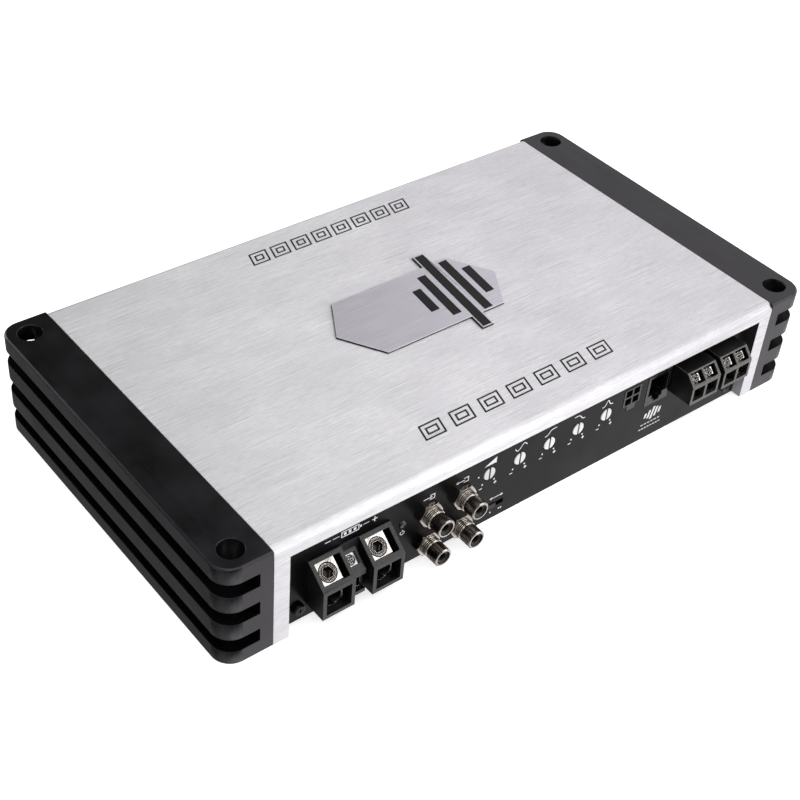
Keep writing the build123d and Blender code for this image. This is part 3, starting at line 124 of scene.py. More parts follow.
class Finish(Nodes):
    """A Principled material and short ways to texture it; noise is in features to the metre."""

    def __init__(self, name, base, roughness, metallic=0.0):
        self.material = bpy.data.materials.new(name)
        self.material.use_nodes = True
        super().__init__(self.material.node_tree)
        self.place = self.node("ShaderNodeTexCoord")
        self.shader = self.tree.nodes["Principled BSDF"]
        self.shader.inputs["Base Color"].default_value = colour(base)
        self.shader.inputs["Roughness"].default_value = roughness
        self.shader.inputs["Metallic"].default_value = metallic

    def set(self, **sockets):
        """Set values on the shader's own sockets; underscores stand for spaces."""
        for key, value in sockets.items():
            self.shader.inputs[key.replace("_", " ")].default_value = value

    def paint(self, value):
        """Use a node's colour as base colour."""
        self.link(value, self.shader.inputs["Base Color"])

    def rough(self, value):
        """Use a node's value as roughness."""
        self.link(value, self.shader.inputs["Roughness"])

    def painted(self):
        """The colour that is linked so far."""
        return self.shader.inputs["Base Color"].links[0].from_socket

    def stretched(self, scale):
        """Object coordinates in metres, scaled alike or along X, Y and Z."""
        if isinstance(scale, (int, float)):
            scale = (scale, scale, scale)
        mapping = self.node("ShaderNodeMapping")
        mapping.inputs["Scale"].default_value = scale
        self.link(self.place.outputs["Object"], mapping.inputs["Vector"])
        return mapping.outputs["Vector"]

    def noise(self, scale, detail=4.0, roughness=0.6):
        """Soft noise, 0 to 1."""
        texture = self.node("ShaderNodeTexNoise")
        self.link(self.stretched(scale), texture.inputs["Vector"])
        texture.inputs["Scale"].default_value = 1.0
        texture.inputs["Detail"].default_value = detail
        texture.inputs["Roughness"].default_value = roughness
        return texture.outputs["Fac"]

    def cell_walls(self, scale):
        """Distance to the nearest wall between random cells."""
        texture = self.node("ShaderNodeTexVoronoi", feature="DISTANCE_TO_EDGE")
        self.link(self.stretched(scale), texture.inputs["Vector"])
        texture.inputs["Scale"].default_value = 1.0
        return texture.outputs["Distance"]

    def axis(self, name):
        """One object coordinate, in metres."""
        parts = self.node("ShaderNodeSeparateXYZ")
        self.link(self.place.outputs["Object"], parts.inputs["Vector"])
        return parts.outputs[name]

    def normal(self):
        """The way that the surface faces."""
        return self.node("ShaderNodeNewGeometry").outputs["Normal"]

    def edges(self, width):
        """1 near sharp outer edges, with the width in millimetres, 0 elsewhere."""
        rounded = self.node("ShaderNodeBevel", samples=4)
        rounded.inputs["Radius"].default_value = width * MM
        flat = self.agreement(rounded.outputs["Normal"], self.normal())
        return self.spread(flat, 1.0, 0.0, 0.8, 0.995)

    def facing(self, direction, start, end):
        """1 where the surface faces a direction in space, 0 where it faces another way."""
        return self.spread(self.agreement(self.normal(), direction), 0.0, 1.0, start, end)

    def bump(self, height, strength, depth):
        """Fine relief, with its depth in millimetres."""
        made = self.node("ShaderNodeBump")
        made.inputs["Strength"].default_value = strength
        made.inputs["Distance"].default_value = depth * MM
        self.link(height, made.inputs["Height"])
        self.link(made.outputs["Normal"], self.shader.inputs["Normal"])

    def across_brushing(self, amount=0.92):
        """Spread reflections across brush lines that run along X."""
        self.set(Anisotropic=amount)
        tangent = self.node("ShaderNodeTangent", direction_type="RADIAL", axis="X")
        self.link(tangent.outputs["Tangent"], self.shader.inputs["Tangent"])


CLOUDS = 45                 # slow changes of tone, in features to the metre
WORN_PATCHES = 400          # patches along worn edges


def grained(name, dark, light, roughness, grain, metallic=0.0, bump=0.3, depth=0.04,
            wear=None, wear_width=0.4):
    """Moulded, cast or painted surface: cloudy tone, fine grain and worn edges."""
    finish = Finish(name, light, roughness, metallic)
    cloud = finish.noise(CLOUDS, 3.0)
    fine = finish.noise(grain, 3.0, 0.55)
    tone = finish.mix(finish.spread(cloud, 0.0, 1.0), colour(dark), colour(light))
    tone = finish.mix(finish.spread(fine, 0.0, 0.35, 0.35, 0.75), tone, colour(light))
    if wear:
        patchy = finish.spread(finish.noise(WORN_PATCHES), 0.1, 0.9)
        edge = finish.maths("MULTIPLY", finish.edges(wear_width), patchy)
        tone = finish.mix(edge, tone, colour(wear))
    finish.paint(tone)
    finish.rough(finish.spread(cloud, roughness - 0.06, roughness + 0.08))
    finish.bump(fine, bump, depth)
    return finish


# ------------------------------------------------------------------ the silver body

ENGRAVED_START = 0.06       # the outlines darken between these depths, in millimetres
ENGRAVED_FULL = 0.18
TOP_SKIN = 0.7              # surfaces this near the top may be part of the outlines
EDGE_STRIP = 6.0            # strip along the top's front and back edges without outlines


def brushed_silver():
    """Aluminium brushed along X, with dark bottoms in the engraved outlines."""
    finish = Finish("brushed_silver", "d9d8dc", 0.4, 1.0)
    long_streaks = finish.noise((40, 1500, 1500), 5.0, 0.7)
    fine_streaks = finish.noise((260, 4200, 4200), 3.0, 0.65)
    scratches = finish.noise((34, 2300, 2300), 2.0)
    cloud = finish.noise((30, 45, 45), 3.0)
    tone = finish.mix(finish.spread(long_streaks, 0.0, 1.0), colour("c9c8cb"), colour("e8e7e9"))
    tone = finish.mix(finish.spread(fine_streaks, 0.0, 0.8, 0.35, 0.7), tone, colour("f6f5f7"))
    tone = finish.mix(finish.spread(cloud, 0.0, 0.4), tone, colour("c6c5c8"))
    tone = finish.mix(finish.spread(scratches, 0.0, 0.5, 0.6, 0.68), tone, colour("aeadb0"))
    tone = finish.mix(finish.spread(scratches, 0.5, 0.0, 0.32, 0.4), tone, colour("ffffff"))
    finish.paint(engraved_outlines(finish, tone))
    finish.rough(finish.spread(long_streaks, 0.44, 0.56))
    finish.across_brushing()
    finish.bump(finish.maths("ADD", long_streaks, fine_streaks), 0.3, 0.03)
    return finish.material


def engraved_outlines(finish, tone):
    """Darken the rims and bottoms of the outlines in the top."""
    back_edge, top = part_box("heatsink_shell")[1][1:]
    z = finish.axis("Z")
    high = finish.maths("GREATER_THAN", z, top - TOP_SKIN * MM)
    across = finish.maths("ABSOLUTE", finish.axis("Y"))
    inside = finish.maths("LESS_THAN", across, back_edge - EDGE_STRIP * MM)
    on_top = finish.maths("MULTIPLY", inside, high)
    rims = finish.maths("MULTIPLY", finish.edges(0.6), on_top)
    tone = finish.mix(rims, tone, colour("6f6e72"))
    below = finish.spread(z, 1.0, 0.0, top - ENGRAVED_FULL * MM, top - ENGRAVED_START * MM)
    return finish.mix(finish.maths("MULTIPLY", below, on_top), tone, colour("232225"))


# ------------------------------------------------------------------ the black caps and panel

# The caps' side grooves, in millimetres
GROOVE_HEIGHTS = (9.8, 24.4, 39.0)
GROOVE_DEPTH = 6.0
GROOVE_HALF = 3.2
SLACK = 0.05                # keeps surfaces that lie on a limit on the right side of it


def in_grooves(finish):
    """1 on the surfaces of the caps' grooves, 0 elsewhere."""
    half_length, half_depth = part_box("right_end_cap")[1][:2]
    x = finish.maths("ABSOLUTE", finish.axis("X"))
    y = finish.maths("ABSOLUTE", finish.axis("Y"))
    z = finish.axis("Z")
    level = 0.0
    for height in GROOVE_HEIGHTS:
        away = finish.maths("ABSOLUTE", finish.maths("SUBTRACT", z, height * MM))
        near = finish.maths("LESS_THAN", away, (GROOVE_HALF + SLACK) * MM)
        level = finish.maths("ADD", near, level)
    wall = (GROOVE_DEPTH + SLACK) * MM
    beside = finish.maths("GREATER_THAN", x, half_length - wall)
    before = finish.maths("GREATER_THAN", y, half_depth - wall)
    outside = finish.maths("MAXIMUM", beside, before)
    behind_face = finish.maths("LESS_THAN", y, half_depth - SLACK * MM)
    return finish.maths("MULTIPLY", finish.maths("MULTIPLY", level, outside), behind_face)


def cap_black():
    """Satin black powder coat of the finned caps, with a faint violet sheen and painted shade in the
    grooves.
    """
    finish = grained("cap_black", "040404", "09090a", 0.32, 2600, bump=0.11, wear="2c2b2f")
    finish.set(Specular_Tint=(1.0, 0.95, 1.03, 1.0))
    # Painted shade in the grooves: their reflection is cut low there
    shine_cut_for_painted_groove_shade = finish.spread(in_grooves(finish), 0.5, 0.06, 0.0, 1.0)
    finish.link(shine_cut_for_painted_groove_shade, finish.shader.inputs["Specular IOR Level"])
    return finish.material


def sheet_black():
    """Painted steel of the bottom plate."""
    finish = grained("sheet_black", "0e0e0f", "171718", 0.45, 3000, bump=0.18, wear="3a3a3c")
    return finish.material


def panel_black():
    """Satin black of the terminal panel."""
    finish = grained("panel_black", "010101", "050506", 0.28, 3200, bump=0.06, depth=0.01,
                     wear="232226")
    finish.set(Specular_IOR_Level=0.1)
    return finish.material


def fastener_black():
    """Blackened steel of the outer screws."""
    finish = grained("fastener_black", "08080a", "121214", 0.34, 5200, metallic=0.6, bump=0.2,
                     depth=0.01, wear="5a5858")
    return finish.material


def printed_white():
    """Screen print: slightly uneven ink."""
    finish = grained("printed_white", "cfcfd2", "ecebee", 0.5, 7000, bump=0.25, depth=0.01)
    return finish.material


# ------------------------------------------------------------------ the badge

def badge_satin():
    """Fine satin metal brushed along X, with painted highlights on its rims and painted shade on its
    sides.
    """
    finish = Finish("badge_satin", "b5b2b9", 0.42, 0.85)
    streaks = finish.noise((60, 4200, 4200))
    tone = finish.mix(finish.spread(streaks, 0.0, 1.0), colour("d8d5dd"), colour("efecf4"))
    # Painted highlights on the rims
    tone = finish.mix(finish.edges(0.3), tone, colour("fbfafc"))
    # Painted shade on the sides: every face that doesn't point up is dark
    unshaded_top_mask = finish.facing((0.0, 0.0, 1.0), 0.1, 0.5)
    finish.paint(finish.mix(unshaded_top_mask, colour("1a191c"), tone))
    finish.rough(finish.spread(streaks, 0.3, 0.46))
    finish.bump(streaks, 0.15, 0.01)
    return finish.material


def badge_enamel():
    """Smooth black inlay."""
    finish = grained("badge_enamel", "060607", "0c0c0e", 0.3, 1800, bump=0.06, depth=0.01,
                     wear="3d3c40", wear_width=0.2)
    finish.set(Specular_IOR_Level=0.3)
    return finish.material


# ------------------------------------------------------------------ terminals and controls

TERMINAL_FRONT = (0.0, -0.87, 0.5)      # between the terminals' front and slanted faces
CLAMP_SLANT = (0.0, -0.63, 0.777)       # the way the clamps' screw faces look


def dust_and_painted_light_on_front(finish, dust_and_light_colour):
    """Lighten the faces that point outward and up in speckles, as dust and painted light."""
    speckle = finish.spread(finish.noise(1700, 3.0), 0.15, 1.0, 0.4, 0.62)
    outer = finish.facing(TERMINAL_FRONT, 0.72, 0.86)
    dust_and_light_mask = finish.maths("MULTIPLY", outer, speckle)
    finish.paint(finish.mix(dust_and_light_mask, finish.painted(), colour(dust_and_light_colour)))


def power_plastic():
    """Glass-filled black plastic of the power block."""
    finish = grained("power_plastic", "070708", "121214", 0.36, 2400, bump=0.45, wear="4c4c4f",
                     wear_width=0.5)
    finish.set(Specular_IOR_Level=0.42)
    # Outward faces: speckled dust and painted light
    dust_and_painted_light_on_front(finish, "303032")
    return finish.material


def speaker_plastic():
    """Black plastic with edges rubbed by wires and drivers, whose outer faces carry speckled dust and
    painted light.
    """
    finish = grained("speaker_plastic", "080808", "121212", 0.34, 2400, bump=0.4, wear="8f8d88",
                     wear_width=0.6)
    dust_and_painted_light_on_front(finish, "5f5e5a")
    return finish.material


def socket_plastic():
    """Smooth black plastic of the sockets, jack cores and switch knob."""
    finish = grained("socket_plastic", "060607", "0e0e0f", 0.3, 2800, bump=0.2, wear="58585c",
                     wear_width=0.5)
    return finish.material


def trimmer_plastic():
    """White moulding with painted shade in its slot."""
    finish = grained("trimmer_plastic", "c4c3c0", "e2e2df", 0.36, 2000, bump=0.15)
    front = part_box("level_trimmer")[0][1]
    # Painted shade, darker deeper in the slot
    painted_slot_shade = finish.spread(finish.axis("Y"), 0.0, 1.0, front + 0.15 * MM, front + 0.5 * MM)
    finish.paint(finish.mix(painted_slot_shade, finish.painted(), colour("2a2a2c")))
    return finish.material


def bright_nickel():
    """Nickel plate of the clamps and jack contacts: painted light on slanted faces, painted shade
    elsewhere, painted highlights on the edges.
    """
    finish = Finish("bright_nickel", "d6d3cd", 0.2, 1.0)
    cloud = finish.noise(180)
    scratch = finish.noise((900, 7000, 2500), 2.0)
    lit_nickel_tone = finish.mix(finish.spread(cloud, 0.0, 1.0), colour("8f8b85"), colour("cfccc7"))
    shaded_nickel_tone = finish.mix(finish.spread(cloud, 0.0, 1.0), colour("3a3632"), colour("625d57"))
    # Painted light on the slanted faces, painted shade on the others
    tone = finish.mix(finish.facing(CLAMP_SLANT, 0.75, 0.93), shaded_nickel_tone, lit_nickel_tone)
    # Painted highlights on the edges
    finish.paint(finish.mix(finish.edges(0.2), tone, colour("f4f2ee")))
    finish.rough(finish.spread(scratch, 0.14, 0.32))
    finish.bump(scratch, 0.12, 0.01)
    return finish.material


def screw_steel():
    """Oiled dark screws with painted highlights on their edges."""
    finish = Finish("screw_steel", "4a4744", 0.26, 1.0)
    cloud = finish.noise(700)
    tone = finish.mix(finish.spread(cloud, 0.0, 1.0), colour("1f1d1b"), colour("3f3b38"))
    # Painted highlights on the edges
    painted_edge_highlight = finish.spread(finish.edges(0.25), 0.0, 1.0, 0.25, 0.8)
    finish.paint(finish.mix(painted_edge_highlight, tone, colour("f5f2ee")))
    finish.rough(finish.spread(cloud, 0.18, 0.36))
    finish.bump(cloud, 0.15, 0.02)
    return finish.material


def dark_nickel():
    """Black nickel plate of the phono jacks, turned in fine rings."""
    finish = Finish("dark_nickel", "9d978f", 0.22, 1.0)
    cloud = finish.noise(160, 3.0)
    rings = finish.noise((25, 5200, 25), 3.0)
    tone = finish.mix(finish.spread(cloud, 0.0, 1.0), colour("8d867d"), colour("bdb7af"))
    tone = finish.mix(finish.spread(rings, 0.0, 0.35, 0.5, 0.7), tone, colour("4b453f"))
    # Painted highlights on the edges
    finish.paint(finish.mix(finish.edges(0.3), tone, colour("fbf9f5")))
    finish.rough(finish.spread(rings, 0.14, 0.26))
    finish.bump(rings, 0.12, 0.02)
    return finish.material


def smoked_lens():
    """Unlit indicator lamp: clear plastic tinted grey."""
    finish = grained("smoked_lens", "141617", "26292c", 0.12, 1200, bump=0.04, depth=0.01)
    finish.set(Transmission_Weight=0.25, Coat_Weight=0.5, Coat_Roughness=0.05)
    return finish.material


def gold_flash():
    """Thin gold on the sockets' contacts."""
    finish = grained("gold_flash", "a67c2e", "d8ae54", 0.26, 1700, metallic=1.0, bump=0.1,
                     depth=0.01, wear="f0d58a")
    return finish.material


# ------------------------------------------------------------------ inner parts

def zinc_steel():
    """Zinc plated steel of the standoffs, clamp bars and inner screws."""
    finish = grained("zinc_steel", "8e8e8c", "b9b8b2", 0.34, 1500, metallic=1.0, bump=0.15,
                     depth=0.01, wear="d8d7d2")
    return finish.material


def copper_wire():
    """Enamelled copper, darker where the varnish is thick."""
    finish = grained("copper_wire", "6e2c10", "b0602c", 0.3, 1300, metallic=0.9, bump=0.15,
                     depth=0.02)
    finish.set(Coat_Weight=0.5, Coat_Roughness=0.15)
    return finish.material


def ferrite_grey():
    """Rough dark grey ferrite of the cores."""
    finish = grained("ferrite_grey", "1d1d1f", "333336", 0.7, 1500, bump=0.5, depth=0.06,
                     wear="525256")
    return finish.material


def board_green():
    """Solder mask over a mesh of copper tracks."""
    finish = Finish("board_green", "0b3a20", 0.35)
    tracks = finish.spread(finish.cell_walls(130), 0.0, 1.0, 0.03, 0.06)
    cloud = finish.noise(60, 3.0)
    tone = finish.mix(tracks, colour("19572f"), colour("0a3119"))
    finish.paint(finish.mix(finish.spread(cloud, 0.0, 0.3), tone, colour("134a28")))
    finish.rough(finish.spread(cloud, 0.28, 0.42))
    finish.bump(tracks, 0.3, 0.03)
    return finish.material


def capacitor_sleeve():
    """Shrunk sleeve, slightly wrinkled round the can."""
    finish = grained("capacitor_sleeve", "0a0d1c", "171c33", 0.28, 900, bump=0.2, depth=0.05,
                     wear="4b5069")
    finish.set(Coat_Weight=0.3, Coat_Roughness=0.2)
    return finish.material


def epoxy_black():
    """Matt black cases of the transistors, trimmers and switch."""
    finish = grained("epoxy_black", "0b0b0b", "1b1b1b", 0.62, 2600, bump=0.4)
    return finish.material


def silicone_grey():
    """Soft grey thermal pads."""
    finish = grained("silicone_grey", "6a6a6e", "8a8a8f", 0.8, 1800, bump=0.4)
    return finish.material


# ------------------------------------------------------------------ materials of the CAD nodes

SLOT_MATERIALS = {
    "silver_aluminium": brushed_silver,
    "black_anodised": cap_black,
    "black_steel": sheet_black,
    "panel_black": panel_black,
    "black_fastener": fastener_black,
    "badge_metal": badge_satin,
    "badge_black": badge_enamel,
    "circuit_board": board_green,
    "steel": zinc_steel,
    "ferrite": ferrite_grey,
    "copper_wire": copper_wire,
    "capacitor_sleeve": capacitor_sleeve,
    "device_black": epoxy_black,
    "pad_grey": silicone_grey,
    "power_plastic": power_plastic,
    "speaker_plastic": speaker_plastic,
    "nickel": bright_nickel,
    "screw_steel": screw_steel,
    "dark_nickel": dark_nickel,
    "jack_black": socket_plastic,
    "trimmer_white": trimmer_plastic,
    "lamp_lens": smoked_lens,
    "gold_contact": gold_flash,
}


def paint_frame():
    """Give every CAD node the material of its slot in the record, and screws and pads theirs."""
    made = {}
    for part in frame["record"]["subparts"]:
        name = part["material_slot"]
        if name == "nickel" and ("_screw" in part["node"] or "_pad" in part["node"]):
            name = "screw_steel"
        if name not in made:
            made[name] = SLOT_MATERIALS[name]()
        node = frame["nodes"][part["node"]]
        node.data.materials.clear()
        node.data.materials.append(made[name])


# ------------------------------------------------------------------ softened edges

# Edge rounding of the nodes that show, in millimetres
EDGE_WIDTHS = {
    "left_end_cap": 0.3,
    "right_end_cap": 0.3,
    "bottom_plate": 0.2,
    "badge_plate": 0.15,
    "power_terminal_housing": 0.25,
    "power_clamps": 0.15,
    "power_screw_left": 0.1,
    "power_screw_right": 0.1,
    "remote_clamp": 0.12,
    "speaker_terminal_housings": 0.22,
    "speaker_clamps": 0.12,
    "rca_nuts": 0.12,
    "high_level_socket": 0.12,
    "remote_jack": 0.15,
    "switch_slider": 0.1,
}
SHARP_ANGLE = 34            # edges sharper than this are rounded, in degrees


def soften(node, width):
    """Round a CAD node's sharp edges with modifiers, leaving its own mesh as it is."""
    weld = node.modifiers.new("weld", "WELD")
    weld.merge_threshold = 1e-6
    bevel = node.modifiers.new("bevel", "BEVEL")
    bevel.width = width * MM
    bevel.segments = 2
    bevel.limit_method = "ANGLE"
    bevel.angle_limit = math.radians(SHARP_ANGLE)
    bevel.miter_outer = "MITER_ARC"
    bevel.harden_normals = True


def soften_frame():
    """Round the edges of all the nodes that are listed."""
    for name, width in EDGE_WIDTHS.items():
        soften(frame["nodes"][name], width)


# ------------------------------------------------------------------ strokes of the screen print

# Sizes of the print are in millimetres; its points are (x, z) on the panel's face
PRINT_THICK = 0.04
LINE = 0.42                 # usual stroke width
THIN_LINE = 0.35
DOT_RADIUS = 0.42
MITRE_LIMIT = 0.4           # keeps the corners of sharp turns short
ON_PANEL = 0.0              # depths in the print, in thicknesses
IN_FRONT = -1.0


def placed(name, data):
    """A new object in the scene."""
    piece = bpy.data.objects.new(name, data)
    bpy.context.scene.collection.objects.link(piece)
    return piece


def mesh_piece(name, mesh):
    """Turn a bmesh into an object in the scene."""
    data = bpy.data.meshes.new(name)
    mesh.to_mesh(data)
    mesh.free()
    return placed(name, data)


def middle(node):
    """Centre of a CAD node, in millimetres."""
    low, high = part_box(node)
    return (Vector(low) + Vector(high)) / 2 / MM


def ribbon(points, width, closed):
    """Left and right sides of a stroke, with mitred corners."""
    points = [Vector(p) for p in points]
    runs = [(after - point).normalized() for point, after in zip(points, points[1:] + points[:1])]
    left, right = [], []
    for i, point in enumerate(points):
        into = runs[i - 1] if i or closed else runs[0]
        out = runs[i] if i + 1 < len(points) or closed else into
        along = (into + out).normalized()
        reach = width / 2 / max(MITRE_LIMIT, along.dot(into))
        side = Vector((-along.y, along.x)) * reach
        left.append(point + side)
        right.append(point - side)
    return left, right


def stroke(mesh, points, width=LINE, closed=False):
    """Add one printed stroke."""
    left, right = ribbon(points, width, closed)
    rings = []
    for a, b in zip(left, right):
        corners = ((a, ON_PANEL), (b, ON_PANEL), (b, IN_FRONT), (a, IN_FRONT))
        rings.append([mesh.verts.new((p.x, depth, p.y)) for p, depth in corners])
    last = len(rings) if closed else len(rings) - 1
    for i in range(last):
        one = rings[i]
        two = rings[(i + 1) % len(rings)]
        for k in range(4):
            mesh.faces.new((one[k], one[(k + 1) % 4], two[(k + 1) % 4], two[k]))
    if not closed:
        mesh.faces.new(rings[0])
        mesh.faces.new(rings[-1])


def patch(mesh, points):
    """Add one printed filled shape."""
    front = [mesh.verts.new((x, IN_FRONT, z)) for x, z in points]
    back = [mesh.verts.new((x, ON_PANEL, z)) for x, z in points]
    mesh.faces.new(front)
    mesh.faces.new(back)
    for i in range(len(points)):
        k = (i + 1) % len(points)
        mesh.faces.new((front[k], front[i], back[i], back[k]))


def arc(x, z, radius, start, end, steps=14):
    """Points on an arc, with angles in degrees."""
    angles = [math.radians(start + i * (end - start) / steps) for i in range(steps + 1)]
    return [(x + radius * math.cos(a), z + radius * math.sin(a)) for a in angles]


def bar(left, right, z, half):
    """Corners of a level bar."""
    return [(left, z - half), (right, z - half), (right, z + half), (left, z + half)]


def arrow_head(tip, z, length, half):
    """Corners of an arrow's head; a negative length points left."""
    return [(tip, z), (tip - length, z + half), (tip - length, z - half)]


def curve(function, x, z, half_width, steps=20):
    """Points of a small graph; the function takes -1 to 1."""
    places = [2 * i / steps - 1 for i in range(steps + 1)]
    return [(x + half_width * t, z + function(t)) for t in places]


def dot(mesh, x, z, radius=DOT_RADIUS):
    """Add a printed dot."""
    patch(mesh, arc(x, z, radius, 0, 330, 11))


def level_line(mesh, x, z, start, end, width=LINE):
    """Add a level stroke between two distances from x."""
    stroke(mesh, [(x + start, z), (x + end, z)], width)


def minus(mesh, x, z, size):
    """Add a minus sign."""
    level_line(mesh, x, z, -size, size)


def plus(mesh, x, z, size):
    """Add a plus sign whose strokes don't overlap."""
    minus(mesh, x, z, size)
    stroke(mesh, [(x, z - size), (x, z - LINE / 2)])
    stroke(mesh, [(x, z + LINE / 2), (x, z + size)])


# ------------------------------------------------------------------ signs of the screen print

# Places round each trimmer's middle, in millimetres
SYMBOL_UP = 6.2
SYMBOL_HALF = 3.2
END_MARK_OUT = 3.2
END_MARK_DOWN = 4.6
SIGN_OUT = 3.9
SIGN_DOWN = 6.6
SIGN_HALF = 0.8


def level_symbol(mesh, x, z):
    """Wedge."""
    patch(mesh, [(x - SYMBOL_HALF, z - 1.5), (x + SYMBOL_HALF, z - 1.5), (x + SYMBOL_HALF, z + 1.5)])


def phase_symbol(mesh, x, z):
    """One wave."""
    stroke(mesh, curve(lambda t: 1.4 * math.sin(math.pi * t), x, z, SYMBOL_HALF))


def high_pass_symbol(mesh, x, z):
    """Curve that rises and stays up."""
    stroke(mesh, curve(lambda t: 2.6 / (1 + math.exp(-7 * (t + 0.25))) - 1.4, x, z, SYMBOL_HALF))


def low_pass_symbol(mesh, x, z):
    """Curve that falls and stays down."""
    stroke(mesh, curve(lambda t: 2.6 / (1 + math.exp(7 * (t - 0.25))) - 1.4, x, z, SYMBOL_HALF))


def boost_symbol(mesh, x, z):
    """Curve with one peak."""
    stroke(mesh, curve(lambda t: 2.8 * math.exp(-9 * t * t) - 1.3, x, z, SYMBOL_HALF))


TRIMMER_SYMBOLS = {
    "level_trimmer": level_symbol,
    "phase_trimmer": phase_symbol,
    "subsonic_trimmer": high_pass_symbol,
    "low_pass_trimmer": low_pass_symbol,
    "bass_trimmer": boost_symbol,
}


def trimmer_print(mesh):
    """Symbol over each trimmer, end marks and signs under it."""
    for name, symbol in TRIMMER_SYMBOLS.items():
        centre = middle(name)
        symbol(mesh, centre.x, centre.z + SYMBOL_UP)
        for side in (-1, 1):
            dot(mesh, centre.x + side * END_MARK_OUT, centre.z - END_MARK_DOWN)
        minus(mesh, centre.x - SIGN_OUT, centre.z - SIGN_DOWN, SIGN_HALF)
        plus(mesh, centre.x + SIGN_OUT, centre.z - SIGN_DOWN, SIGN_HALF)


def power_print(mesh):
    """Battery sign between a minus and a plus, over the power block."""
    x = middle("power_terminal_housing").x
    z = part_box("power_terminal_housing")[1][2] / MM + 3.9
    minus(mesh, x - 10.0, z, 1.3)
    level_line(mesh, x, z, -7.8, -4.6, 0.3)
    stroke(mesh, bar(x - 3.6, x + 4.4, z, 1.3), closed=True)
    for cell in range(3):
        left = x - 2.6 + cell * 2.3
        patch(mesh, bar(left, left + 1.2, z, 0.7))
    patch(mesh, bar(x + 5.0, x + 5.8, z, 0.6))
    level_line(mesh, x, z, 6.6, 9.4, 0.3)
    plus(mesh, x + 12.0, z, 1.3)


JACK_COLUMN = 8.65          # from the middle of the phono jacks to their columns and rows
JACK_ROW = 8.0


def jack_print(mesh):
    """Arrow into a frame over one column of phono jacks, and out of it over the other."""
    centre = middle("rca_nuts")
    right, _, top = [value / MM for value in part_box("rca_nuts")[1]]
    z = top + 2.4
    for side, tip in ((-1, 1.5), (1, -3.7)):
        x = centre.x + side * JACK_COLUMN
        stroke(mesh, bar(x + 0.2, x + 2.6, z, 1.1))
        level_line(mesh, x, z, -3.0, 0.8)
        patch(mesh, arrow_head(x + tip, z, -side * 1.1, 0.8))
    for dots, row in ((1, centre.z + JACK_ROW), (2, centre.z - JACK_ROW)):
        for i in range(dots):
            dot(mesh, right + 2.2 + i * 1.3, row + 5.0)


def switch_print(mesh):
    """Double arrow over the slide switch, one dot under its left end and two under its right."""
    low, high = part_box("switch_body")
    left = low[0] / MM + 3.2
    right = high[0] / MM - 3.2
    x = (left + right) / 2
    slot = middle("switch_slider").z
    level_line(mesh, x, slot + 4.1, -2.6, 2.6, THIN_LINE)
    for side in (-1, 1):
        patch(mesh, arrow_head(x + side * 3.7, slot + 4.1, side * 1.2, 0.75))
    for dots, place in ((1, left), (2, right)):
        for i in range(dots):
            dot(mesh, place + i * 1.1, slot - 3.8, 0.4)


def lamp_print(mesh):
    """On sign under the indicator lamp."""
    lamp = middle("status_led")
    z = lamp.z - 4.6
    stroke(mesh, arc(lamp.x, z, 1.0, 130, 410), 0.3)
    stroke(mesh, [(lamp.x, z + 0.3), (lamp.x, z + 1.5)], 0.3)


def maker_print(mesh):
    """The badge's leaning bars over two broken rules, under the remote jack."""
    centre = middle("remote_jack").x
    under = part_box("remote_jack")[0][2] / MM
    middle_height = under - 6.1
    for i, height in enumerate((2.4, 4.2, 6.6, 5.0, 3.0)):
        x = centre + (i - 2) * 2.2
        lean = height * 0.12
        low = middle_height - height / 2
        high = middle_height + height / 2
        patch(mesh, [(x - 0.65 - lean, low), (x + 0.65 - lean, low),
                     (x + 0.65 + lean, high), (x - 0.65 + lean, high)])
    for z, half, pieces in ((under - 11.1, 6.2, 6), (under - 13.5, 6.9, 8)):
        step = 2 * half / pieces
        for i in range(pieces):
            level_line(mesh, centre - half + i * step, z, 0.0, step * 0.7, 0.5)


def socket_print(mesh):
    """A small wave over the high-level socket and a turning arrow over the remote jack."""
    socket = middle("high_level_socket").x
    over_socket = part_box("high_level_socket")[1][2] / MM + 2.8
    wave = curve(lambda t: 0.7 * math.sin(2 * math.pi * t), socket, over_socket, 3.0)
    stroke(mesh, wave, THIN_LINE)
    jack = middle("remote_jack").x
    over_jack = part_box("remote_jack")[1][2] / MM + 1.7
    stroke(mesh, arc(jack, over_jack, 1.5, -20, 200), THIN_LINE)


def panel_print():
    """All the screen print, as one thin piece on the panel's face."""
    mesh = bmesh.new()
    trimmer_print(mesh)
    power_print(mesh)
    jack_print(mesh)
    switch_print(mesh)
    lamp_print(mesh)
    maker_print(mesh)
    socket_print(mesh)
    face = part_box("terminal_panel")[0][1]
    for vertex in mesh.verts:
        x, depth, z = vertex.co
        vertex.co = Vector((x * MM, face + depth * PRINT_THICK * MM, z * MM))
    bmesh.ops.recalc_face_normals(mesh, faces=mesh.faces)
    piece = mesh_piece("panel_print", mesh)
    piece.data.materials.append(printed_white())
    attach(piece, "root")


# ------------------------------------------------------------------ floor and surroundings

FLOOR_HALF = 4.0            # in metres
FLOOR_GLOW = 0.62           # evens out the floor far from the lamps
BACKDROP = 1.02             # white that the camera sees beyond the floor

# Brightness of the surroundings from far left (-1) to far right (+1)
SIDE_BRIGHTNESS = ((-1.0, 0.12), (-0.44, 0.08), (-0.3, 0.17), (-0.1, 0.15), (0.24, 0.03),
                   (0.36, 0.05), (0.7, 0.95), (1.0, 1.1))

# Soft bright areas: direction, the cosines at which each starts and is full, and brightness
WINDOWS = (
    ((0.24, -0.58, -0.78), 0.78, 0.98, 1.1),        # white table in front
    ((-0.56, -0.35, -0.75), 0.8, 0.97, 0.45),       # its left end
    ((-0.32, 0.65, -0.69), 0.75, 0.96, 0.09),       # white table behind on the left
    ((-0.82, -0.1, 0.56), 0.6, 0.9, 0.6),           # wall on the left
)


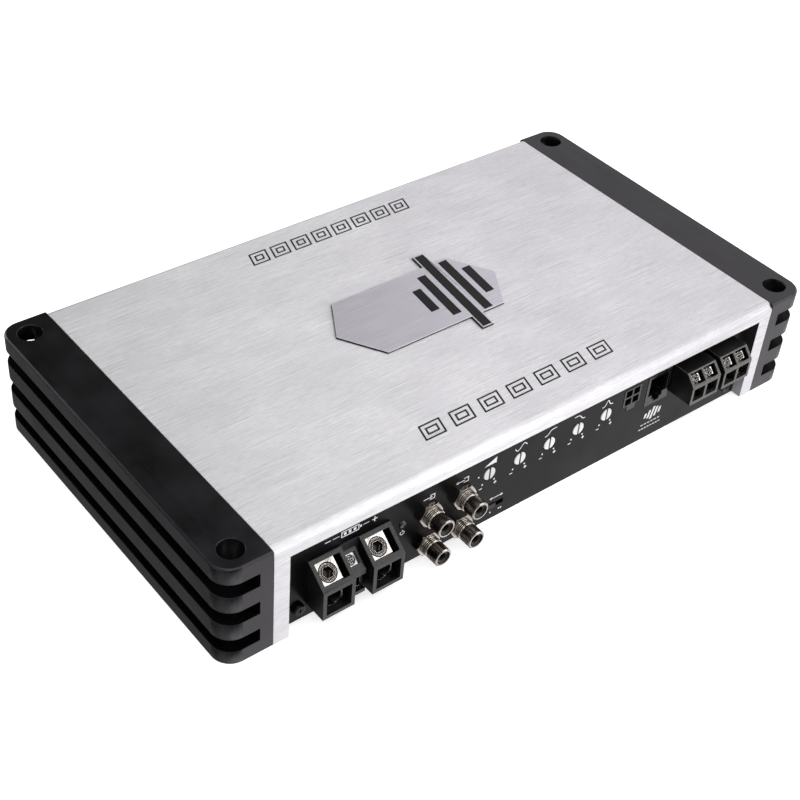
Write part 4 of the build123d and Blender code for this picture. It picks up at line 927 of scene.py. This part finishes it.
def floor():
    """Plain white floor, which reflections don't see."""
    mesh = bmesh.new()
    bmesh.ops.create_grid(mesh, x_segments=8, y_segments=8, size=FLOOR_HALF)
    piece = mesh_piece("studio_floor", mesh)
    piece.location.z = cad_bounds[0].z - 0.1 * MM
    finish = Finish("studio_floor", "f5f5f5", 0.9)
    finish.paint(finish.mix(finish.noise(3, 2.0), colour("f3f3f3"), colour("f8f8f8")))
    finish.set(Emission_Color=(1.0, 1.0, 1.0, 1.0), Emission_Strength=FLOOR_GLOW)
    piece.data.materials.append(finish.material)
    piece.visible_glossy = False


def side_brightness(nodes, direction):
    """Brightness that changes from left to right as the table says."""
    parts = nodes.node("ShaderNodeSeparateXYZ")
    nodes.link(direction, parts.inputs["Vector"])
    across = nodes.node("ShaderNodeFloatCurve")
    across.mapping.use_clip = False
    points = across.mapping.curves[0].points
    points[0].location = SIDE_BRIGHTNESS[0]
    points[1].location = SIDE_BRIGHTNESS[-1]
    for place, brightness in SIDE_BRIGHTNESS[1:-1]:
        points.new(place, brightness)
    across.mapping.update()
    nodes.link(parts.outputs["X"], across.inputs["Value"])
    return across.outputs["Value"]


def studio_world():
    """Soft surroundings for reflections, with a plain white backdrop for the camera."""
    world = bpy.data.worlds.new("studio")
    world.use_nodes = True
    bpy.context.scene.world = world
    nodes = Nodes(world.node_tree)
    direction = nodes.node("ShaderNodeTexCoord").outputs["Generated"]
    total = side_brightness(nodes, direction)
    for towards, start, full, brightness in WINDOWS:
        near = nodes.agreement(direction, towards)
        window = nodes.spread(near, 0.0, brightness, start, full, "SMOOTHSTEP")
        total = nodes.maths("ADD", total, window)
    by_camera = nodes.node("ShaderNodeLightPath").outputs["Is Camera Ray"]
    seen = nodes.node("ShaderNodeMix")
    nodes.link(by_camera, seen.inputs["Factor"])
    nodes.link(total, seen.inputs["A"])
    seen.inputs["B"].default_value = BACKDROP
    background = world.node_tree.nodes["Background"]
    nodes.link(seen.outputs["Result"], background.inputs["Strength"])
    background.inputs["Color"].default_value = (1.0, 0.98, 1.01, 1.0)


# ------------------------------------------------------------------ lamps and camera

# Each lamp's name, place, point that it looks at, size in metres and power in watts
LAMPS = (
    ("overhead", (0.0, -0.35, 1.5), (0.0, 0.0, 0.0), 2.0, 17.6),
    ("key", (0.72, -0.98, 0.66), (0.0, -0.08, 0.02), 0.9, 4.6),
    ("front", (0.45, -1.35, 0.25), (0.0, -0.08, 0.02), 0.7, 3.0),
    ("back", (-0.6, 1.35, 0.4), (0.0, 0.08, 0.02), 0.9, 6.0),
)

# The photograph's view, above the front left corner: lens and place in millimetres
LENS = 66.956
SENSOR_WIDTH = 36.0
NEAREST = 10.0              # nothing nearer than this is drawn
CAMERA_PLACE = (-345.884, -387.562, 431.409)
CAMERA_RIGHT = (0.78522494, -0.61589494, 0.06399385)
CAMERA_UP = (0.35796308, 0.53583291, 0.76468655)


def soft_light(name, place, target, size, power):
    """Square area light that looks at a point."""
    data = bpy.data.lights.new(name, "AREA")
    data.shape = "SQUARE"
    data.size = size
    data.energy = power
    light = placed(name, data)
    light.location = place
    aim = Vector(target) - Vector(place)
    light.rotation_mode = "QUATERNION"
    light.rotation_quaternion = aim.to_track_quat("-Z", "Y")


def camera():
    """Camera with the photograph's place, direction and lens."""
    data = bpy.data.cameras.new("camera")
    data.lens = LENS
    data.sensor_width = SENSOR_WIDTH
    data.clip_start = NEAREST * MM
    piece = placed("camera", data)
    right = Vector(CAMERA_RIGHT)
    up = Vector(CAMERA_UP)
    turn = Matrix((right, up, right.cross(up))).transposed()
    piece.matrix_world = Matrix.Translation(Vector(CAMERA_PLACE) * MM) @ turn.to_4x4()
    bpy.context.scene.camera = piece


paint_frame()
soften_frame()
panel_print()
floor()
studio_world()
for lamp in LAMPS:
    soft_light(*lamp)
camera()
bpy.context.scene.view_settings.view_transform = "Standard"
